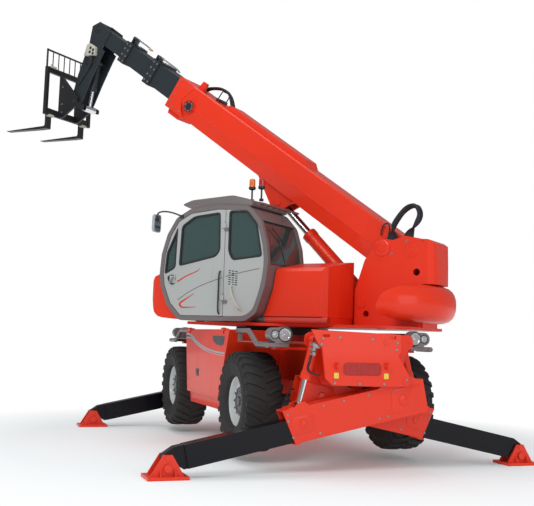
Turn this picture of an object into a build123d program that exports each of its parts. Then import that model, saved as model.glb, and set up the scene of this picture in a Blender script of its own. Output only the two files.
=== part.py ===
from build123d import *
import os
from math import cos, radians, sin

# Rotating telehandler on four stabilisers.  Lengths are in millimetres.
# Frame: origin on the slew axis at ground level, +X to the chassis front, +Y to its left, +Z up.
# The turret is modelled in its own frame, +X along the boom, and turned by slew_angle.
# The boom is modelled along +X with its foot pin at the origin, then raised by boom_angle.

# ---- poses as parked -------------------------------------------------------------------
slew_angle = 218.6
boom_angle = 35.5
arm_angle = 12.0

# ---- wheels and axles ------------------------------------------------------------------
wheelbase = 3050.0
wheel_centre_y = 985.0
wheel_lift = 100.0
tyre_radius = 590.0
tyre_width = 460.0
lug_height = 38.0
lug_count = 22
rim_radius = 316.0
rim_wall = 12.0
hub_radius = 172.0
kingpin_y = 900.0
axle_x = wheelbase / 2
disc_y = 60.0
hub_face_y = 130.0
axle_z = tyre_radius + wheel_lift
axle_tube_radius = 92.0
diff_radius = 190.0
yoke_reach = 50.0
yoke_height = 165.0
kingpin_radius = 27.0
spindle_radius = 62.0
running_gap = 0.05
seat_gap = 0.3

# ---- chassis ---------------------------------------------------------------------------
frame_half_width = 400.0
frame_top_z = 1420.0
frame_axle_z = 935.0
belly_z = 560.0
belly_half_length = 760.0
pedestal_radius = 600.0
slew_ring_radius = 650.0
slew_ring_top_z = 1592.0
slew_ring_height = 92.0
ring_bottom_z = slew_ring_top_z - slew_ring_height
bracket_z = 1350.0
spigot_radius = 520.0
cover_y = 1150.0
cover_hinge_x = (-700.0, 920.0)
cover_knuckle_radius = 22.0
cover_pin_radius = 9.0
cover_thickness = 60.0
cover_top_z = 1540.0
cover_bottom_z = 664.0
cover_front_top_x = 1160.0
cover_front_bottom_x = 765.0
cover_rear_top_x = -932.0
cover_rear_bottom_x = -745.0
skirt_bottom_z = 520.0
housing_wall = 10.0
tank_front_x = 720.0
tank_rear_x = -700.0
tank_y = 1130.0
tank_bottom_z = 600.0
tank_top_z = 1390.0

# ---- stabilisers -----------------------------------------------------------------------
outer_arm_x = wheelbase / 2 + 1075.0
frame_end_x = outer_arm_x - 470.0
arm_spacing = 300.0
inner_arm_x = outer_arm_x - arm_spacing
arm_width = 200.0
arm_top = -20.0
arm_height = 370.0
arm_wall = 12.0
arm_pin_y = 420.0
arm_pin_z = 1005.0
arm_pin_radius = 36.0
arm_ear_radius = 72.0
arm_inner_length = 262.0
arm_outer_length = 1391.0
arm_end_slant = 85.0
leg_play = 0.3
leg_height = 244.0
leg_length = 1980.0
foot_pin_z = 210.0
foot_pin_height = -225.0
foot_length = 430.0
foot_width = 330.0
foot_pin_radius = 30.0
jack_top_y = 620.0
jack_top_z = 1450.0
jack_eye_reach = arm_outer_length - 141.0
jack_eye_height = -20.0
jack_eye_radius = 40.0
jack_eye_play = 6.5
jack_barrel_radius = 54.0
jack_barrel_length = 440.0
jack_rod_radius = 26.0
jack_rod_start = 330.0
jack_pin_radius = 20.0
plate_thickness = 30.0
plate_reach = 70.0
front_plate_x = outer_arm_x + arm_spacing / 2
middle_plate_x = outer_arm_x - arm_spacing / 2
rear_plate_x = inner_arm_x - arm_spacing / 2
hook_radius = 38.0
# hook Y and Z on the end plates
hook_table = ((-431.0, 1165.0), (177.0, 1175.0))
grille_bars = 11

# ---- rails and lamps -------------------------------------------------------------------
rail_y = 1050.0
rail_top_z = 1527.0
rail_low_z = 1368.0
fender_z = 1392.0
lamp_x = outer_arm_x - 350.0
rail_bend_x = lamp_x - 640.0
rail_low_x = lamp_x - 320.0
lamp_z = 1490.0
# lamp Y, lens radius, pod radius
lamp_table = ((838.0, 74.0, 90.0), (958.0, 44.0, 78.0))

# ---- turret ----------------------------------------------------------------------------
turret_floor_z = 1602.0
turret_floor_thickness = 38.0
pivot_x = -1635.0
pivot_z = 2657.0
pivot_pin_radius = 60.0
upright_outer_y = 300.0
upright_inner_y = 262.0
lift_foot_x = -1350.0
lift_foot_z = 1942.0
lift_pin_radius = 50.0
lift_barrel_radius = 98.0
lift_rod_radius = 58.0
lift_barrel_length = 1357.0
lift_rod_start = 700.0
lift_eye_half = 110.0
lift_bracket_y = lift_eye_half + 5.0
hood_bottom_z = 1727.0
hood_y = 1040.0
hood_rail_radius = 43.0
weight_centre_x = -1520.0
weight_radius = 960.0
weight_top_z = 2176.0
weight_bottom_z = 1687.0

# ---- cab -------------------------------------------------------------------------------
cab_outer_y = 1233.0
cab_inner_y = 281.0
cab_wall = 60.0
cab_floor_z = 1650.0
cab_top_z = 3190.0
door_rear_x = 200.0
door_gap = 6.0
corner_radius = 150.0
hinge_x = door_rear_x - 6
hinge_y = cab_outer_y + 8
hinge_z = (1950.0, 2900.0)
beacon_y = 850.0
beacon_x = (40.0, -110.0)
rear_window_points = [(130, 3090), (-140, 3075), (-290, 2900), (-375, 2490), (65, 2449), (130, 2560)]
inner_window_points = [(760, 3060), (-140, 3060), (-290, 2860), (-360, 2420), (1100, 2420), (1000, 2820)]
door_window_points = [(900, 2920), (700, 3040), (290, 3075), (275, 2575), (340, 2501), (925, 2390)]
quarter_window_points = [(985, 2870), (1140, 2560), (1165, 2284), (1003, 2360)]

# ---- boom ------------------------------------------------------------------------------
boom_tail_s = -440.0
boom_front_s = 4400.0
boom_half_width = 250.0
boom_bottom_t = -250.0
boom_top_t = 260.0
boom_wall = 12.0
section_mid_t = 34.0
second_half, second_tall = 196.0, 184.0
slide_in = 450.0
slide_out = 3300.0
lift_eye_s = 1790.0
lift_eye_t = -400.0
tilt_pin_s = 6199.0
tilt_pin_t = -1149.0
tilt_pin_radius = 40.0
tilt_top_s = 6330.0
tilt_top_t = -420.0
tilt_lever = 200.0
tilt_top_pin_radius = 32.0
tilt_barrel_radius = 55.0
tilt_barrel_length = 480.0
tilt_rod_radius = 30.0
tilt_rod_start = 352.0
tilt_eye_radius = 54.0
fork_top_z = 4885.0
fork_heel_x = 4490.0
fork_shank = 45.0
fork_length = 910.0
fork_half_width = 50.0
fork_half_spacing = 390.0

# name: rear end s, front end s, half width, half height, wall
boom_sections = {
    "boom_second": (640.0, 5090.0, second_half, second_tall, 10.0),
    "boom_third": (1210.0, 5808.0, 164.0, 154.0, 9.0),
    "boom_tip": (1890.0, 6460.0, 134.0, 126.0, 8.0),
}

# corner: sign of X, sign of Y, name
corners = (
    (1, 1, "front_left"),
    (1, -1, "front_right"),
    (-1, 1, "rear_left"),
    (-1, -1, "rear_right"),
)

# stabiliser: name, plane X, side its foot is on
stabilisers = (
    ("front_right", outer_arm_x, -1),
    ("front_left", inner_arm_x, 1),
    ("rear_right", -inner_arm_x, -1),
    ("rear_left", -outer_arm_x, 1),
)


# ---- helpers ---------------------------------------------------------------------------
def block(x0, x1, y0, y1, z0, z1):
    return Pos((x0 + x1) / 2, (y0 + y1) / 2, (z0 + z1) / 2) * Box(abs(x1 - x0), abs(y1 - y0), abs(z1 - z0))


def pin(x, y, z, radius, length, along):
    turn = {"x": Rot(0, 90, 0), "y": Rot(90, 0, 0), "z": Rot(0, 0, 0)}[along]
    return Pos(x, y, z) * turn * Cylinder(radius, length)


def ring(x, y, z, outer, inner, length, along):
    return pin(x, y, z, outer, length, along) - pin(x, y, z, inner, length + 2, along)


def rod_between(a, b, radius):
    """A round bar from point a to point b."""
    start, end = Vector(*a), Vector(*b)
    way = end - start
    return Plane(origin=(start + end) * 0.5, z_dir=way) * Cylinder(radius, way.length)


def plate_xz(points, y0, y1):
    """A profile in X and Z, given thickness from y0 to y1."""
    face = make_face(Plane.XZ * Polyline(*points, close=True))
    return Pos(0, max(y0, y1), 0) * extrude(face, amount=abs(y1 - y0), dir=(0, -1, 0))


def plate_yz(points, x0, x1):
    """A profile in Y and Z, given thickness from x0 to x1."""
    face = make_face(Plane.YZ * Polyline(*points, close=True))
    return Pos(min(x0, x1), 0, 0) * extrude(face, amount=abs(x1 - x0), dir=(1, 0, 0))


def plate_xy(points, z0, z1):
    """A profile in X and Y, given thickness from z0 to z1."""
    face = make_face(Polyline(*points, close=True))
    return Pos(0, 0, min(z0, z1)) * extrude(face, amount=abs(z1 - z0), dir=(0, 0, 1))


def on_turret(shape):
    return Rot(0, 0, slew_angle) * shape


def on_boom(shape):
    return on_turret(Pos(pivot_x, 0, pivot_z) * Rot(0, -boom_angle, 0) * shape)


def boom_to_turret(s, t):
    """Turret X and Z of a boom point."""
    c, k = cos(radians(boom_angle)), sin(radians(boom_angle))
    return pivot_x + s * c - t * k, pivot_z + s * k + t * c


def turret_to_boom(x, z):
    c, k = cos(radians(boom_angle)), sin(radians(boom_angle))
    return (x - pivot_x) * c + (z - pivot_z) * k, -(x - pivot_x) * k + (z - pivot_z) * c


# ---- wheels ----------------------------------------------------------------------------
def rim():
    """Rim, disc and planetary hub, about the Y axis with the outer side at +Y."""
    half = tyre_width / 2 - 50
    barrel = ring(0, 0, 0, rim_radius - 25, rim_radius - 25 - rim_wall, 2 * half, "y")
    for end in (-1, 1):
        barrel += ring(0, end * half, 0, rim_radius, rim_radius - 25 - rim_wall, 14, "y")
    disc = ring(0, disc_y, 0, rim_radius - 25, hub_radius - 20, 16, "y")
    hub = pin(0, (disc_y + hub_face_y) / 2, 0, hub_radius, hub_face_y - disc_y, "y")
    neck = pin(0, disc_y - 28, 0, hub_radius - 30, 56, "y")
    cap = pin(0, hub_face_y + 9, 0, 62, 18, "y")
    return barrel + disc + hub + neck + cap - pin(0, disc_y - 20, 0, spindle_radius + running_gap, 102, "y")



def tyre():
    """Tyre carcass with a ring of angled lugs, about the Y axis."""
    body_radius = tyre_radius - lug_height
    half = tyre_width / 2
    bead = rim_radius - 25
    profile = [
        (bead, -half + 62),
        (rim_radius + 4, -half + 62),
        (rim_radius + 60, -half + 14),
        (body_radius - 70, -half),
        (body_radius - 14, -half + 30),
        (body_radius, 0),
        (body_radius - 14, half - 30),
        (body_radius - 70, half),
        (rim_radius + 60, half - 14),
        (rim_radius + 4, half - 62),
        (bead, half - 62),
    ]
    face = make_face(Polyline(*[(r, y, 0) for r, y in profile], close=True))
    carcass = revolve(face, Axis.Y)
    lugs = []
    step = 360.0 / lug_count
    root = body_radius - 34
    for side in (-1, 1):
        lug_face = make_face(
            Polyline((side * 14, -34), (side * half * 0.99, 30), (side * half * 0.99, 78), (side * 14, 20), close=True)
        )
        bar = extrude(lug_face, amount=tyre_radius - root - 5)
        bar = Pos(0, 0, root) * Rot(0, 0, 90) * bar
        for n in range(lug_count):
            angle = (n + (0.5 if side > 0 else 0.0)) * step
            lugs.append(Rot(0, angle, 0) * bar)
    return carcass, lugs


def wheel_place(sx, sy):
    """Turns a wheel built with its outer side at +Y to its corner."""
    turn = Rot(0, 0, 0) if sy > 0 else Rot(0, 0, 180)
    return Pos(sx * axle_x, sy * wheel_centre_y, axle_z) * turn


def knuckle():
    """Steering knuckle about its kingpin, with the wheel on +Y."""
    reach = wheel_centre_y - kingpin_y
    body = Pos(0, 0, 0) * Cylinder(yoke_reach + 22, 2 * yoke_height - 44)
    flange = pin(0, yoke_reach + 20, 0, 150, 22, "y")
    pins = pin(0, 0, 0, kingpin_radius, 2 * yoke_height + 60, "z")
    spindle_end = reach + disc_y + 30
    spindle_start = yoke_reach + 8
    spindle = pin(0, (spindle_start + spindle_end) / 2, 0, spindle_radius, spindle_end - spindle_start, "y")
    arm = block(-190, -40, -16, 24, -22, 22) + pin(-190, 4, 0, 32, 44, "z")
    return body + flange + pins + spindle + arm


def axle():
    """One steering drive axle, centred on the origin, along Y."""
    tube_end = kingpin_y - 92
    beam = pin(0, 0, 0, axle_tube_radius, 2 * tube_end, "y")
    diff = Sphere(diff_radius) & Box(500, 330, 500)
    beam += diff + pin(150, 0, 0, 95, 180, "x")
    for sy in (-1, 1):
        pad = block(-95, 95, sy * 250 - 60, sy * 250 + 60, 60, frame_axle_z - axle_z)
        beam += pad
        back = block(-60, 60, sy * (kingpin_y - 140), sy * (kingpin_y - 84), -yoke_height - 26, yoke_height + 26)
        beam += back
        for end in (-1, 1):
            z0, z1 = sorted((end * (yoke_height - 20), end * (yoke_height + 26)))
            lug = block(-yoke_reach, yoke_reach, sy * (kingpin_y - 140), sy * kingpin_y, z0, z1)
            lug += pin(0, sy * kingpin_y, (z0 + z1) / 2, yoke_reach, z1 - z0, "z")
            beam += lug
        beam -= pin(0, sy * kingpin_y, 0, kingpin_radius + running_gap, 2 * yoke_height + 120, "z")
        beam += pin(150, sy * 420, 60, 38, 380, "y") + block(60, 150, sy * 300, sy * 330, 40, 90)
    return beam


# ---- stabilisers -----------------------------------------------------------------------
def stabiliser_arm():
    """Box of a stabiliser, with X outwards along it from its hinge pin, Y across it and Z up.

    The pin runs above the box, in ears that stand flush with its sides.
    """
    top = arm_top
    bottom = top - arm_height
    half = arm_width / 2
    end_top = arm_outer_length + arm_end_slant
    outline = [(-arm_inner_length, bottom), (-arm_inner_length, top), (end_top, top), (arm_outer_length, bottom)]
    shell = plate_xz(outline, -half, half)
    for z0, z1 in ((top - 1, top + 14), (bottom - 14, bottom + 1)):
        shell += block(arm_outer_length - 60, arm_outer_length + 10, -half, half, z0, z1)
    shell -= block(-arm_inner_length - 1, end_top + 1, -half + arm_wall, half - arm_wall, bottom + arm_wall,
                   top - arm_wall)
    inner_half, _, leg_top = leg_section()
    for x0 in (arm_outer_length - 91, 240):
        shell += block(x0, x0 + 90, -inner_half + 8, inner_half - 8, leg_top + leg_play, top - arm_wall + 1)
    notch = jack_eye_radius + 14
    shell -= block(jack_eye_reach - notch, jack_eye_reach + notch, -half + arm_wall, half - arm_wall,
                   top - arm_wall - 1, top + 1)
    for side in (-1, 1):
        y0, y1 = sorted((side * half, side * (half - arm_wall)))
        shell += plate_xz(
            [(-arm_inner_length + 60, top - 1), (-60, arm_ear_radius - 4), (60, arm_ear_radius - 4), (330, top - 1)],
            y0,
            y1,
        )
        shell += plate_xz(
            [
                (jack_eye_reach - 90, top - 1),
                (jack_eye_reach - 40, top + 48),
                (jack_eye_reach + 40, top + 48),
                (jack_eye_reach + 90, top - 1),
            ],
            y0,
            y1,
        )
    shell += pin(jack_eye_reach, 0, jack_eye_height, jack_pin_radius, arm_width, "y")
    shell += pin(0, 0, 0, arm_pin_radius, arm_width + 2 * plate_reach, "y")
    return shell


def arm_place(x, side):
    """From arm coordinates (X outwards, Y across, Z up) to the chassis."""
    turn = Rot(0, 0, -90) if side < 0 else Rot(0, 0, 90)
    return Pos(x, -side * arm_pin_y, arm_pin_z) * turn * Rot(0, arm_angle, 0)


def leg_section():
    """Half width, bottom and top of the sliding leg, which runs on the floor of its box."""
    bottom = arm_top - arm_height + arm_wall + leg_play
    return arm_width / 2 - arm_wall - leg_play, bottom, bottom + leg_height


def foot_pin_local():
    """Foot pin in arm coordinates: on the leg's lower half, at foot_pin_z above the ground."""
    c, k = cos(radians(arm_angle)), sin(radians(arm_angle))
    along = (arm_pin_z + foot_pin_height * c - foot_pin_z) / k
    return along, foot_pin_height


def stabiliser_leg():
    """Sliding leg, in arm coordinates."""
    half, bottom, top = leg_section()
    pin_x, pin_z = foot_pin_local()
    back = pin_x - leg_length
    beam = block(back, pin_x - 190, -half, half, bottom, top)
    beam -= block(back - 1, pin_x - 210, -half + 10, half - 10, bottom + 10, top - 10)
    nose = plate_xz(
        [
            (pin_x - 191, bottom),
            (pin_x - 191, top),
            (pin_x - 90, top),
            (pin_x + 36, pin_z + 40),
            (pin_x + 36, pin_z - 40),
            (pin_x - 50, pin_z - 70),
            (pin_x - 150, bottom),
        ],
        -half + 24,
        half - 24,
    )
    nose += pin(pin_x, 0, pin_z, 50, 2 * half - 48, "y")
    nose -= pin(pin_x, 0, pin_z, foot_pin_radius + running_gap, 2 * half + 20, "y")
    return beam + nose


def stabiliser_foot():
    """Foot about its pin at the origin: sole below, pin along X."""
    sole_z = -foot_pin_z
    half_l, half_w = foot_length / 2, foot_width / 2
    base = block(-half_w, half_w, -half_l, half_l, sole_z, sole_z + 34)
    cheek_inner = leg_section()[0] - 24 + 6
    shape = base
    for side in (-1, 1):
        x0, x1 = sorted((side * cheek_inner, side * (cheek_inner + 26)))
        cheek = plate_yz(
            [(-half_l + 40, sole_z + 33), (-46, 34), (46, 34), (half_l - 40, sole_z + 33)], x0, x1
        )
        shape += cheek
        for end in (-1, 1):
            y0, y1 = sorted((end * 70, end * 84))
            gusset = plate_xz(
                [
                    (side * (cheek_inner + 25), sole_z + 33),
                    (side * (cheek_inner + 25), sole_z + 120),
                    (side * (half_w - 8), sole_z + 33),
                ],
                y0,
                y1,
            )
            shape += gusset
    shape += pin(0, 0, 0, foot_pin_radius, 2 * cheek_inner + 70, "x")
    return shape


def foot_centre(x, side):
    """Place of a stabiliser's foot pin on the chassis."""
    along, height = foot_pin_local()
    c, k = cos(radians(arm_angle)), sin(radians(arm_angle))
    out = along * c + height * k
    up = -along * k + height * c
    return x, side * (out - arm_pin_y), arm_pin_z + up


def jack_ends(x, side):
    """Top pin and rod eye of a stabiliser's cylinder."""
    c, k = cos(radians(arm_angle)), sin(radians(arm_angle))
    out = jack_eye_reach * c + jack_eye_height * k
    up = -jack_eye_reach * k + jack_eye_height * c
    top = (x, side * jack_top_y, jack_top_z)
    eye = (x, side * (out - arm_pin_y), arm_pin_z + up)
    return top, eye


def toward(a, b, distance):
    """The point that lies the given distance from a on the way to b."""
    start, end = Vector(*a), Vector(*b)
    return tuple(start + (end - start).normalized() * distance)


def cylinder_barrel(top, eye, radius, bore, length, pin_radius, pin_length, along):
    """Barrel with an eye at the top pin and an open bore towards the rod."""
    head = toward(top, eye, length)
    start = toward(top, eye, pin_radius + 18)
    body = rod_between(start, head, radius)
    gland = rod_between(toward(top, eye, length - 70), toward(top, eye, length + 12), radius + 8)
    body += gland
    boss = pin(*top, pin_radius + 26, pin_length, along)
    body += boss
    body -= rod_between(toward(top, eye, pin_radius + 70), toward(top, eye, length + 40), bore)
    body -= pin(*top, pin_radius + running_gap, pin_length + 2, along)
    return body


def cylinder_rod(top, eye, radius, start, eye_radius, pin_radius, pin_length, along, play=1.0):
    """Rod from inside the barrel to its eye, which carries its own pin where pin_radius is 0."""
    body = rod_between(toward(top, eye, start), toward(eye, top, pin_radius + play + 4), radius)
    body += pin(*eye, eye_radius, pin_length, along)
    if pin_radius:
        body -= pin(*eye, pin_radius + play, pin_length + 2, along)
    return body


# ---- chassis ---------------------------------------------------------------------------
def chassis_frame():
    """Welded frame: spine over the axles, belly between them, pedestal and stabiliser housings."""
    half = frame_half_width
    spine = plate_xz(
        [
            (-frame_end_x, frame_axle_z),
            (-belly_half_length - 120, frame_axle_z),
            (-belly_half_length, belly_z),
            (belly_half_length, belly_z),
            (belly_half_length + 120, frame_axle_z),
            (frame_end_x, frame_axle_z),
            (frame_end_x, frame_top_z - 60),
            (1100, frame_top_z),
            (-1100, frame_top_z),
            (-frame_end_x, frame_top_z - 60),
        ],
        -half,
        half,
    )
    frame = spine + pin(0, 0, (frame_top_z - 20 + ring_bottom_z) / 2, pedestal_radius,
                        ring_bottom_z - frame_top_z + 20, "z")
    for end in (-1, 1):
        frame += housing(end)
    for sx, sy, _ in corners:
        frame += block(sx * (frame_end_x - 145), sx * (frame_end_x - 15), sy * (half - 10), sy * 900,
                       bracket_z - 30, bracket_z)
    return frame



def plate_outline(facing):
    """Outline of a crosswise plate between two stabilisers, with its cylinder lobe towards -Y when facing is 1."""
    lobe_y = jack_top_y + 65
    points = [
        (-lobe_y, 1425),
        (-lobe_y + 10, 1500),
        (-lobe_y + 60, 1530),
        (-20, 1508),
        (arm_pin_y, 1480),
        (arm_pin_y - 50, 1330),
        (arm_pin_y + 45, 1180),
        (arm_pin_y + 62, 1050),
        (arm_pin_y + 50, arm_pin_z - 50),
        (-arm_pin_y, arm_pin_z - 55),
        (-arm_pin_y - 90, 1020),
        (-jack_top_y + 10, 1345),
        (-jack_top_y - 45, 1380),
    ]
    return [(y * facing, z) for y, z in points]


def end_plate_outline(facing):
    """Outline of the plate at the very end of the chassis."""
    points = [
        (-jack_top_y - 113, 1555),
        (354, 1529),
        (357, 1331),
        (323, 1299),
        (arm_pin_y + 50, 1073),
        (arm_pin_y + 46, arm_pin_z - 50),
        (107, 949),
        (-475, 958),
        (-558, 1031),
        (-604, 1360),
        (-666, 1420),
    ]
    return [(y * facing, z) for y, z in points]


def end_plate(end):
    """End plate with its slots, grille and towing hooks, in chassis coordinates."""
    half = plate_thickness / 2
    face_x = front_plate_x + half
    plate = plate_yz(end_plate_outline(end), end * (front_plate_x - half), end * face_x)
    for y in (251, -560):
        for shift in (-26, 26):
            plate -= pin(end * front_plate_x, end * (y + shift), 1492, 18, plate_thickness + 2, "x")
        plate -= block(end * (front_plate_x - 16), end * (front_plate_x + 16), end * (y - 26), end * (y + 26),
                       1474, 1510)
    window = [(-350, 1098), (-320, 1068), (85, 1068), (115, 1098), (115, 1178), (85, 1208), (-320, 1208), (-350, 1178)]
    plate -= plate_yz([(y * end, z) for y, z in window], end * (front_plate_x - 16), end * (front_plate_x + 16))
    for n in range(grille_bars):
        y = end * (-350 + (n + 0.5) * 465 / grille_bars)
        plate += block(end * (front_plate_x - 5), end * (front_plate_x + 5), y - 6, y + 6, 1066, 1210)
    for y, z in hook_table:
        plate += ring(end * (face_x + hook_radius - 16), end * y, z, hook_radius, hook_radius - 18, 22, "y")
    plate += pin(end * (face_x + 3), end * 172, 1432, 34, 10, "x")
    return plate


def housing(end):
    """The three crosswise plates that carry a pair of stabilisers at one end of the chassis."""
    half = plate_thickness / 2
    # plate X, sides its cylinder lobes stand on
    table = ((rear_plate_x, (-1,)), (middle_plate_x, (-1, 1)))
    parts = [end_plate(end)]
    for x, facings in table:
        for facing in facings:
            parts.append(plate_yz(plate_outline(end * facing), end * (x - half), end * (x + half)))
    parts.append(block(end * (frame_end_x - 200), end * front_plate_x, -330, 330, 1300, 1440))
    shape = parts[0] + parts[1:]
    for _, x, side in stabilisers:
        if x * end < 0:
            continue
        shape -= pin(x, -side * arm_pin_y, arm_pin_z, arm_pin_radius + running_gap, 2 * arm_width, "x")
        shape += pin(x, side * jack_top_y, jack_top_z, jack_pin_radius, arm_width + 2 * plate_reach, "x")
    return shape


def slew_ring():
    return ring(0, 0, slew_ring_top_z - slew_ring_height / 2, slew_ring_radius, spigot_radius + running_gap,
                slew_ring_height, "z")


def cover_edge_points(inset):
    """Outline of the engine cover in X and Z, drawn in by inset."""
    return [
        (cover_rear_bottom_x + inset, cover_bottom_z + inset),
        (cover_rear_top_x + inset, cover_top_z - inset),
        (cover_front_top_x - inset, cover_top_z - inset),
        (cover_front_bottom_x - inset, cover_bottom_z + inset),
    ]


def engine_housing():
    """Open box beside the frame that the engine sits in, with its skirt below."""
    outer = plate_xz(cover_edge_points(0), -(cover_y - cover_thickness - seat_gap), -frame_half_width)
    inner = plate_xz(cover_edge_points(housing_wall), -cover_y, -frame_half_width - 1)
    walls = outer - inner
    skirt = plate_xz(
        [
            (cover_rear_bottom_x + 20, cover_bottom_z),
            (cover_front_bottom_x + 25, cover_bottom_z),
            (cover_front_bottom_x - 55, skirt_bottom_z),
            (cover_rear_bottom_x + 80, skirt_bottom_z),
        ],
        -(cover_y - 40),
        -frame_half_width,
    )
    housing_box = walls + skirt - pin(0, 0, ring_bottom_z, slew_ring_radius + 10, 300, "z")
    wall_y = -(cover_y - cover_thickness - seat_gap)
    for x in cover_hinge_x:
        lug = [(wall_y + 6, cover_top_z - 50), (wall_y + 6, cover_top_z + 12), (-cover_y, cover_top_z + 12),
               (-cover_y, cover_top_z - 12)]
        housing_box += plate_yz(lug, x - 20, x + 20) + pin(x, -cover_y, cover_top_z, cover_knuckle_radius, 40, "x")
        housing_box += pin(x, -cover_y, cover_top_z, cover_pin_radius, 110, "x")
    return housing_box


def engine_cover():
    """Cover that hinges along its outer top edge."""
    outer = plate_xz(cover_edge_points(0), -cover_y, -(cover_y - cover_thickness))
    inner = plate_xz(cover_edge_points(14), -(cover_y - 14), -(cover_y - cover_thickness) + 1)
    cover = outer - inner
    for x in cover_hinge_x:
        cover -= block(x - 23, x + 23, -cover_y - 30, -(cover_y - cover_thickness) + 1, cover_top_z - 60,
                       cover_top_z + 1)
        for side in (-1, 1):
            cover += pin(x + side * 39, -cover_y, cover_top_z, cover_knuckle_radius, 32, "x")
        cover -= pin(x, -cover_y, cover_top_z, cover_pin_radius + running_gap, 112, "x")
    return cover


def engine_block():
    return block(-520, 560, -(cover_y - 190), -frame_half_width - 40, cover_bottom_z + housing_wall, 1330)


def tank_box():
    """Fuel and oil tank with two step recesses in its outer face."""
    box = plate_xz(
        [
            (tank_rear_x, tank_bottom_z),
            (tank_rear_x - 120, tank_top_z),
            (tank_front_x + 120, tank_top_z),
            (tank_front_x, tank_bottom_z),
        ],
        frame_half_width,
        tank_y,
    )
    for z in (760, 1060):
        box -= block(-260, 260, tank_y - 150, tank_y + 1, z, z + 190)
    return box


def rail_start(sx, sy):
    """Where a guard rail begins: at the engine cover's corner, or past the tank's end."""
    if sy < 0:
        return cover_front_top_x + 4 if sx > 0 else -cover_rear_top_x + 4
    return 900.0


def lamp_rails():
    """Grey guard rail, mudguard and lamp pod at each corner."""
    parts = []
    radius = 30.0
    for sx, sy, _ in corners:
        y = sy * rail_y
        start = rail_start(sx, sy)
        run = rod_between((sx * start, y, rail_top_z), (sx * rail_bend_x, y, rail_top_z), radius)
        run += rod_between((sx * rail_bend_x, y, rail_top_z), (sx * rail_low_x, y, rail_low_z), radius)
        run += rod_between((sx * rail_low_x, y, rail_low_z), (sx * lamp_x, y, rail_low_z), radius)
        for x, z in ((rail_bend_x, rail_top_z), (rail_low_x, rail_low_z)):
            run += Pos(sx * x, y, z) * Sphere(radius)
        run += block(sx * (lamp_x - 265), sx * (lamp_x - 10), sy * 780, sy * rail_y, bracket_z, bracket_z + 44)
        run += block(sx * (start + 30), sx * (lamp_x - 170), sy * frame_half_width, sy * rail_y, fender_z,
                     fender_z + 12)
        run += block(sx * (start + 60), sx * (start + 120), sy * (rail_y - 30), sy * (rail_y + 10), fender_z,
                     rail_top_z)
        run += block(sx * (lamp_x - 265), sx * (lamp_x - 170), sy * 780, sy * 1000, bracket_z, fender_z + 1)
        for lamp_y, _, pod_radius in lamp_table:
            run += pin(sx * (lamp_x - 60), sy * lamp_y, lamp_z, pod_radius, 120, "x")
        (y_big, _, _), (y_small, _, _) = lamp_table
        run += block(sx * (lamp_x - 120), sx * lamp_x, sy * y_big, sy * y_small, bracket_z + 40, lamp_z + 78)
        for lamp_y, lens_radius, _ in lamp_table:
            run -= pin(sx * lamp_x, sy * lamp_y, lamp_z, lens_radius + seat_gap, 40, "x")
        parts.append(run)
    return parts



def headlamps():
    """Lamp lenses, each seated in its pod."""
    lamps = []
    for sx, sy, _ in corners:
        for lamp_y, lens_radius, _ in lamp_table:
            lamps.append(pin(sx * (lamp_x - 9), sy * lamp_y, lamp_z, lens_radius, 22, "x"))
    return lamps


# ---- turret ----------------------------------------------------------------------------
def turret_frame():
    """Turntable floor, the two uprights that hold the boom foot, and the cross plates between them."""
    floor = plate_xy(
        [(-2150, -560), (-2150, 560), (-2000, 740), (-1850, 850), (-700, 900), (-300, 1100), (850, 1100), (900, 270),
         (900, -300), (700, -880), (-1850, -850), (-2000, -740)],
        turret_floor_z,
        turret_floor_z + turret_floor_thickness,
    )
    floor += Pos(0, 0, turret_floor_z - 34) * Cylinder(spigot_radius, 70)
    upright_points = [
        (-1256, turret_floor_z),
        (-1256, 2100),
        (-1391, 2503),
        (pivot_x + 125, pivot_z + 10),
        (pivot_x + 90, pivot_z + 88),
        (pivot_x, pivot_z + 122),
        (pivot_x - 150, pivot_z + 95),
        (-1944, 2804),
        (-2174, 2758),
        (-2190, 2700),
        (-2190, 2200),
        (-2150, turret_floor_z),
    ]
    frame = floor
    for side in (-1, 1):
        plate = plate_xz(upright_points, side * upright_inner_y, side * upright_outer_y)
        for x, z, radius in ((-2109, 2334, 46), (-1423, 1800, 40)):
            plate -= pin(x, side * upright_outer_y, z, radius, 120, "y")
        frame += plate
        frame += pin(pivot_x, side * (upright_outer_y + 5), pivot_z, 112, 12, "y")
        frame += pin(-2040, side * (upright_outer_y + 3), 2612, 92, 8, "y")
        frame += pin(lift_foot_x, side * (upright_outer_y + 4), lift_foot_z, 66, 10, "y")
    for x in (-60, 700):
        for y in (cab_inner_y + 90, cab_outer_y - 220):
            frame += pin(x, y, (turret_floor_z + turret_floor_thickness + cab_floor_z) / 2, 60,
                         cab_floor_z - turret_floor_z - turret_floor_thickness, "z")
    frame += block(-2190, -2000, -upright_inner_y, upright_inner_y, turret_floor_z + 30, 2080)
    hood_seat = hood_y - 2 * hood_rail_radius + 10
    frame += block(-1228, -360, upright_outer_y - 1, hood_seat, turret_floor_z + 20, hood_bottom_z)
    rail_z = hood_bottom_z - hood_rail_radius - seat_gap
    frame += rod_between((-1235, hood_y - hood_rail_radius, rail_z), (-340, hood_y - hood_rail_radius, rail_z),
                         hood_rail_radius)
    frame += pin(pivot_x, 0, pivot_z, pivot_pin_radius, 2 * upright_outer_y, "y")
    frame += pin(lift_foot_x, 0, lift_foot_z, lift_pin_radius, 2 * upright_outer_y, "y")
    return frame


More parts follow.
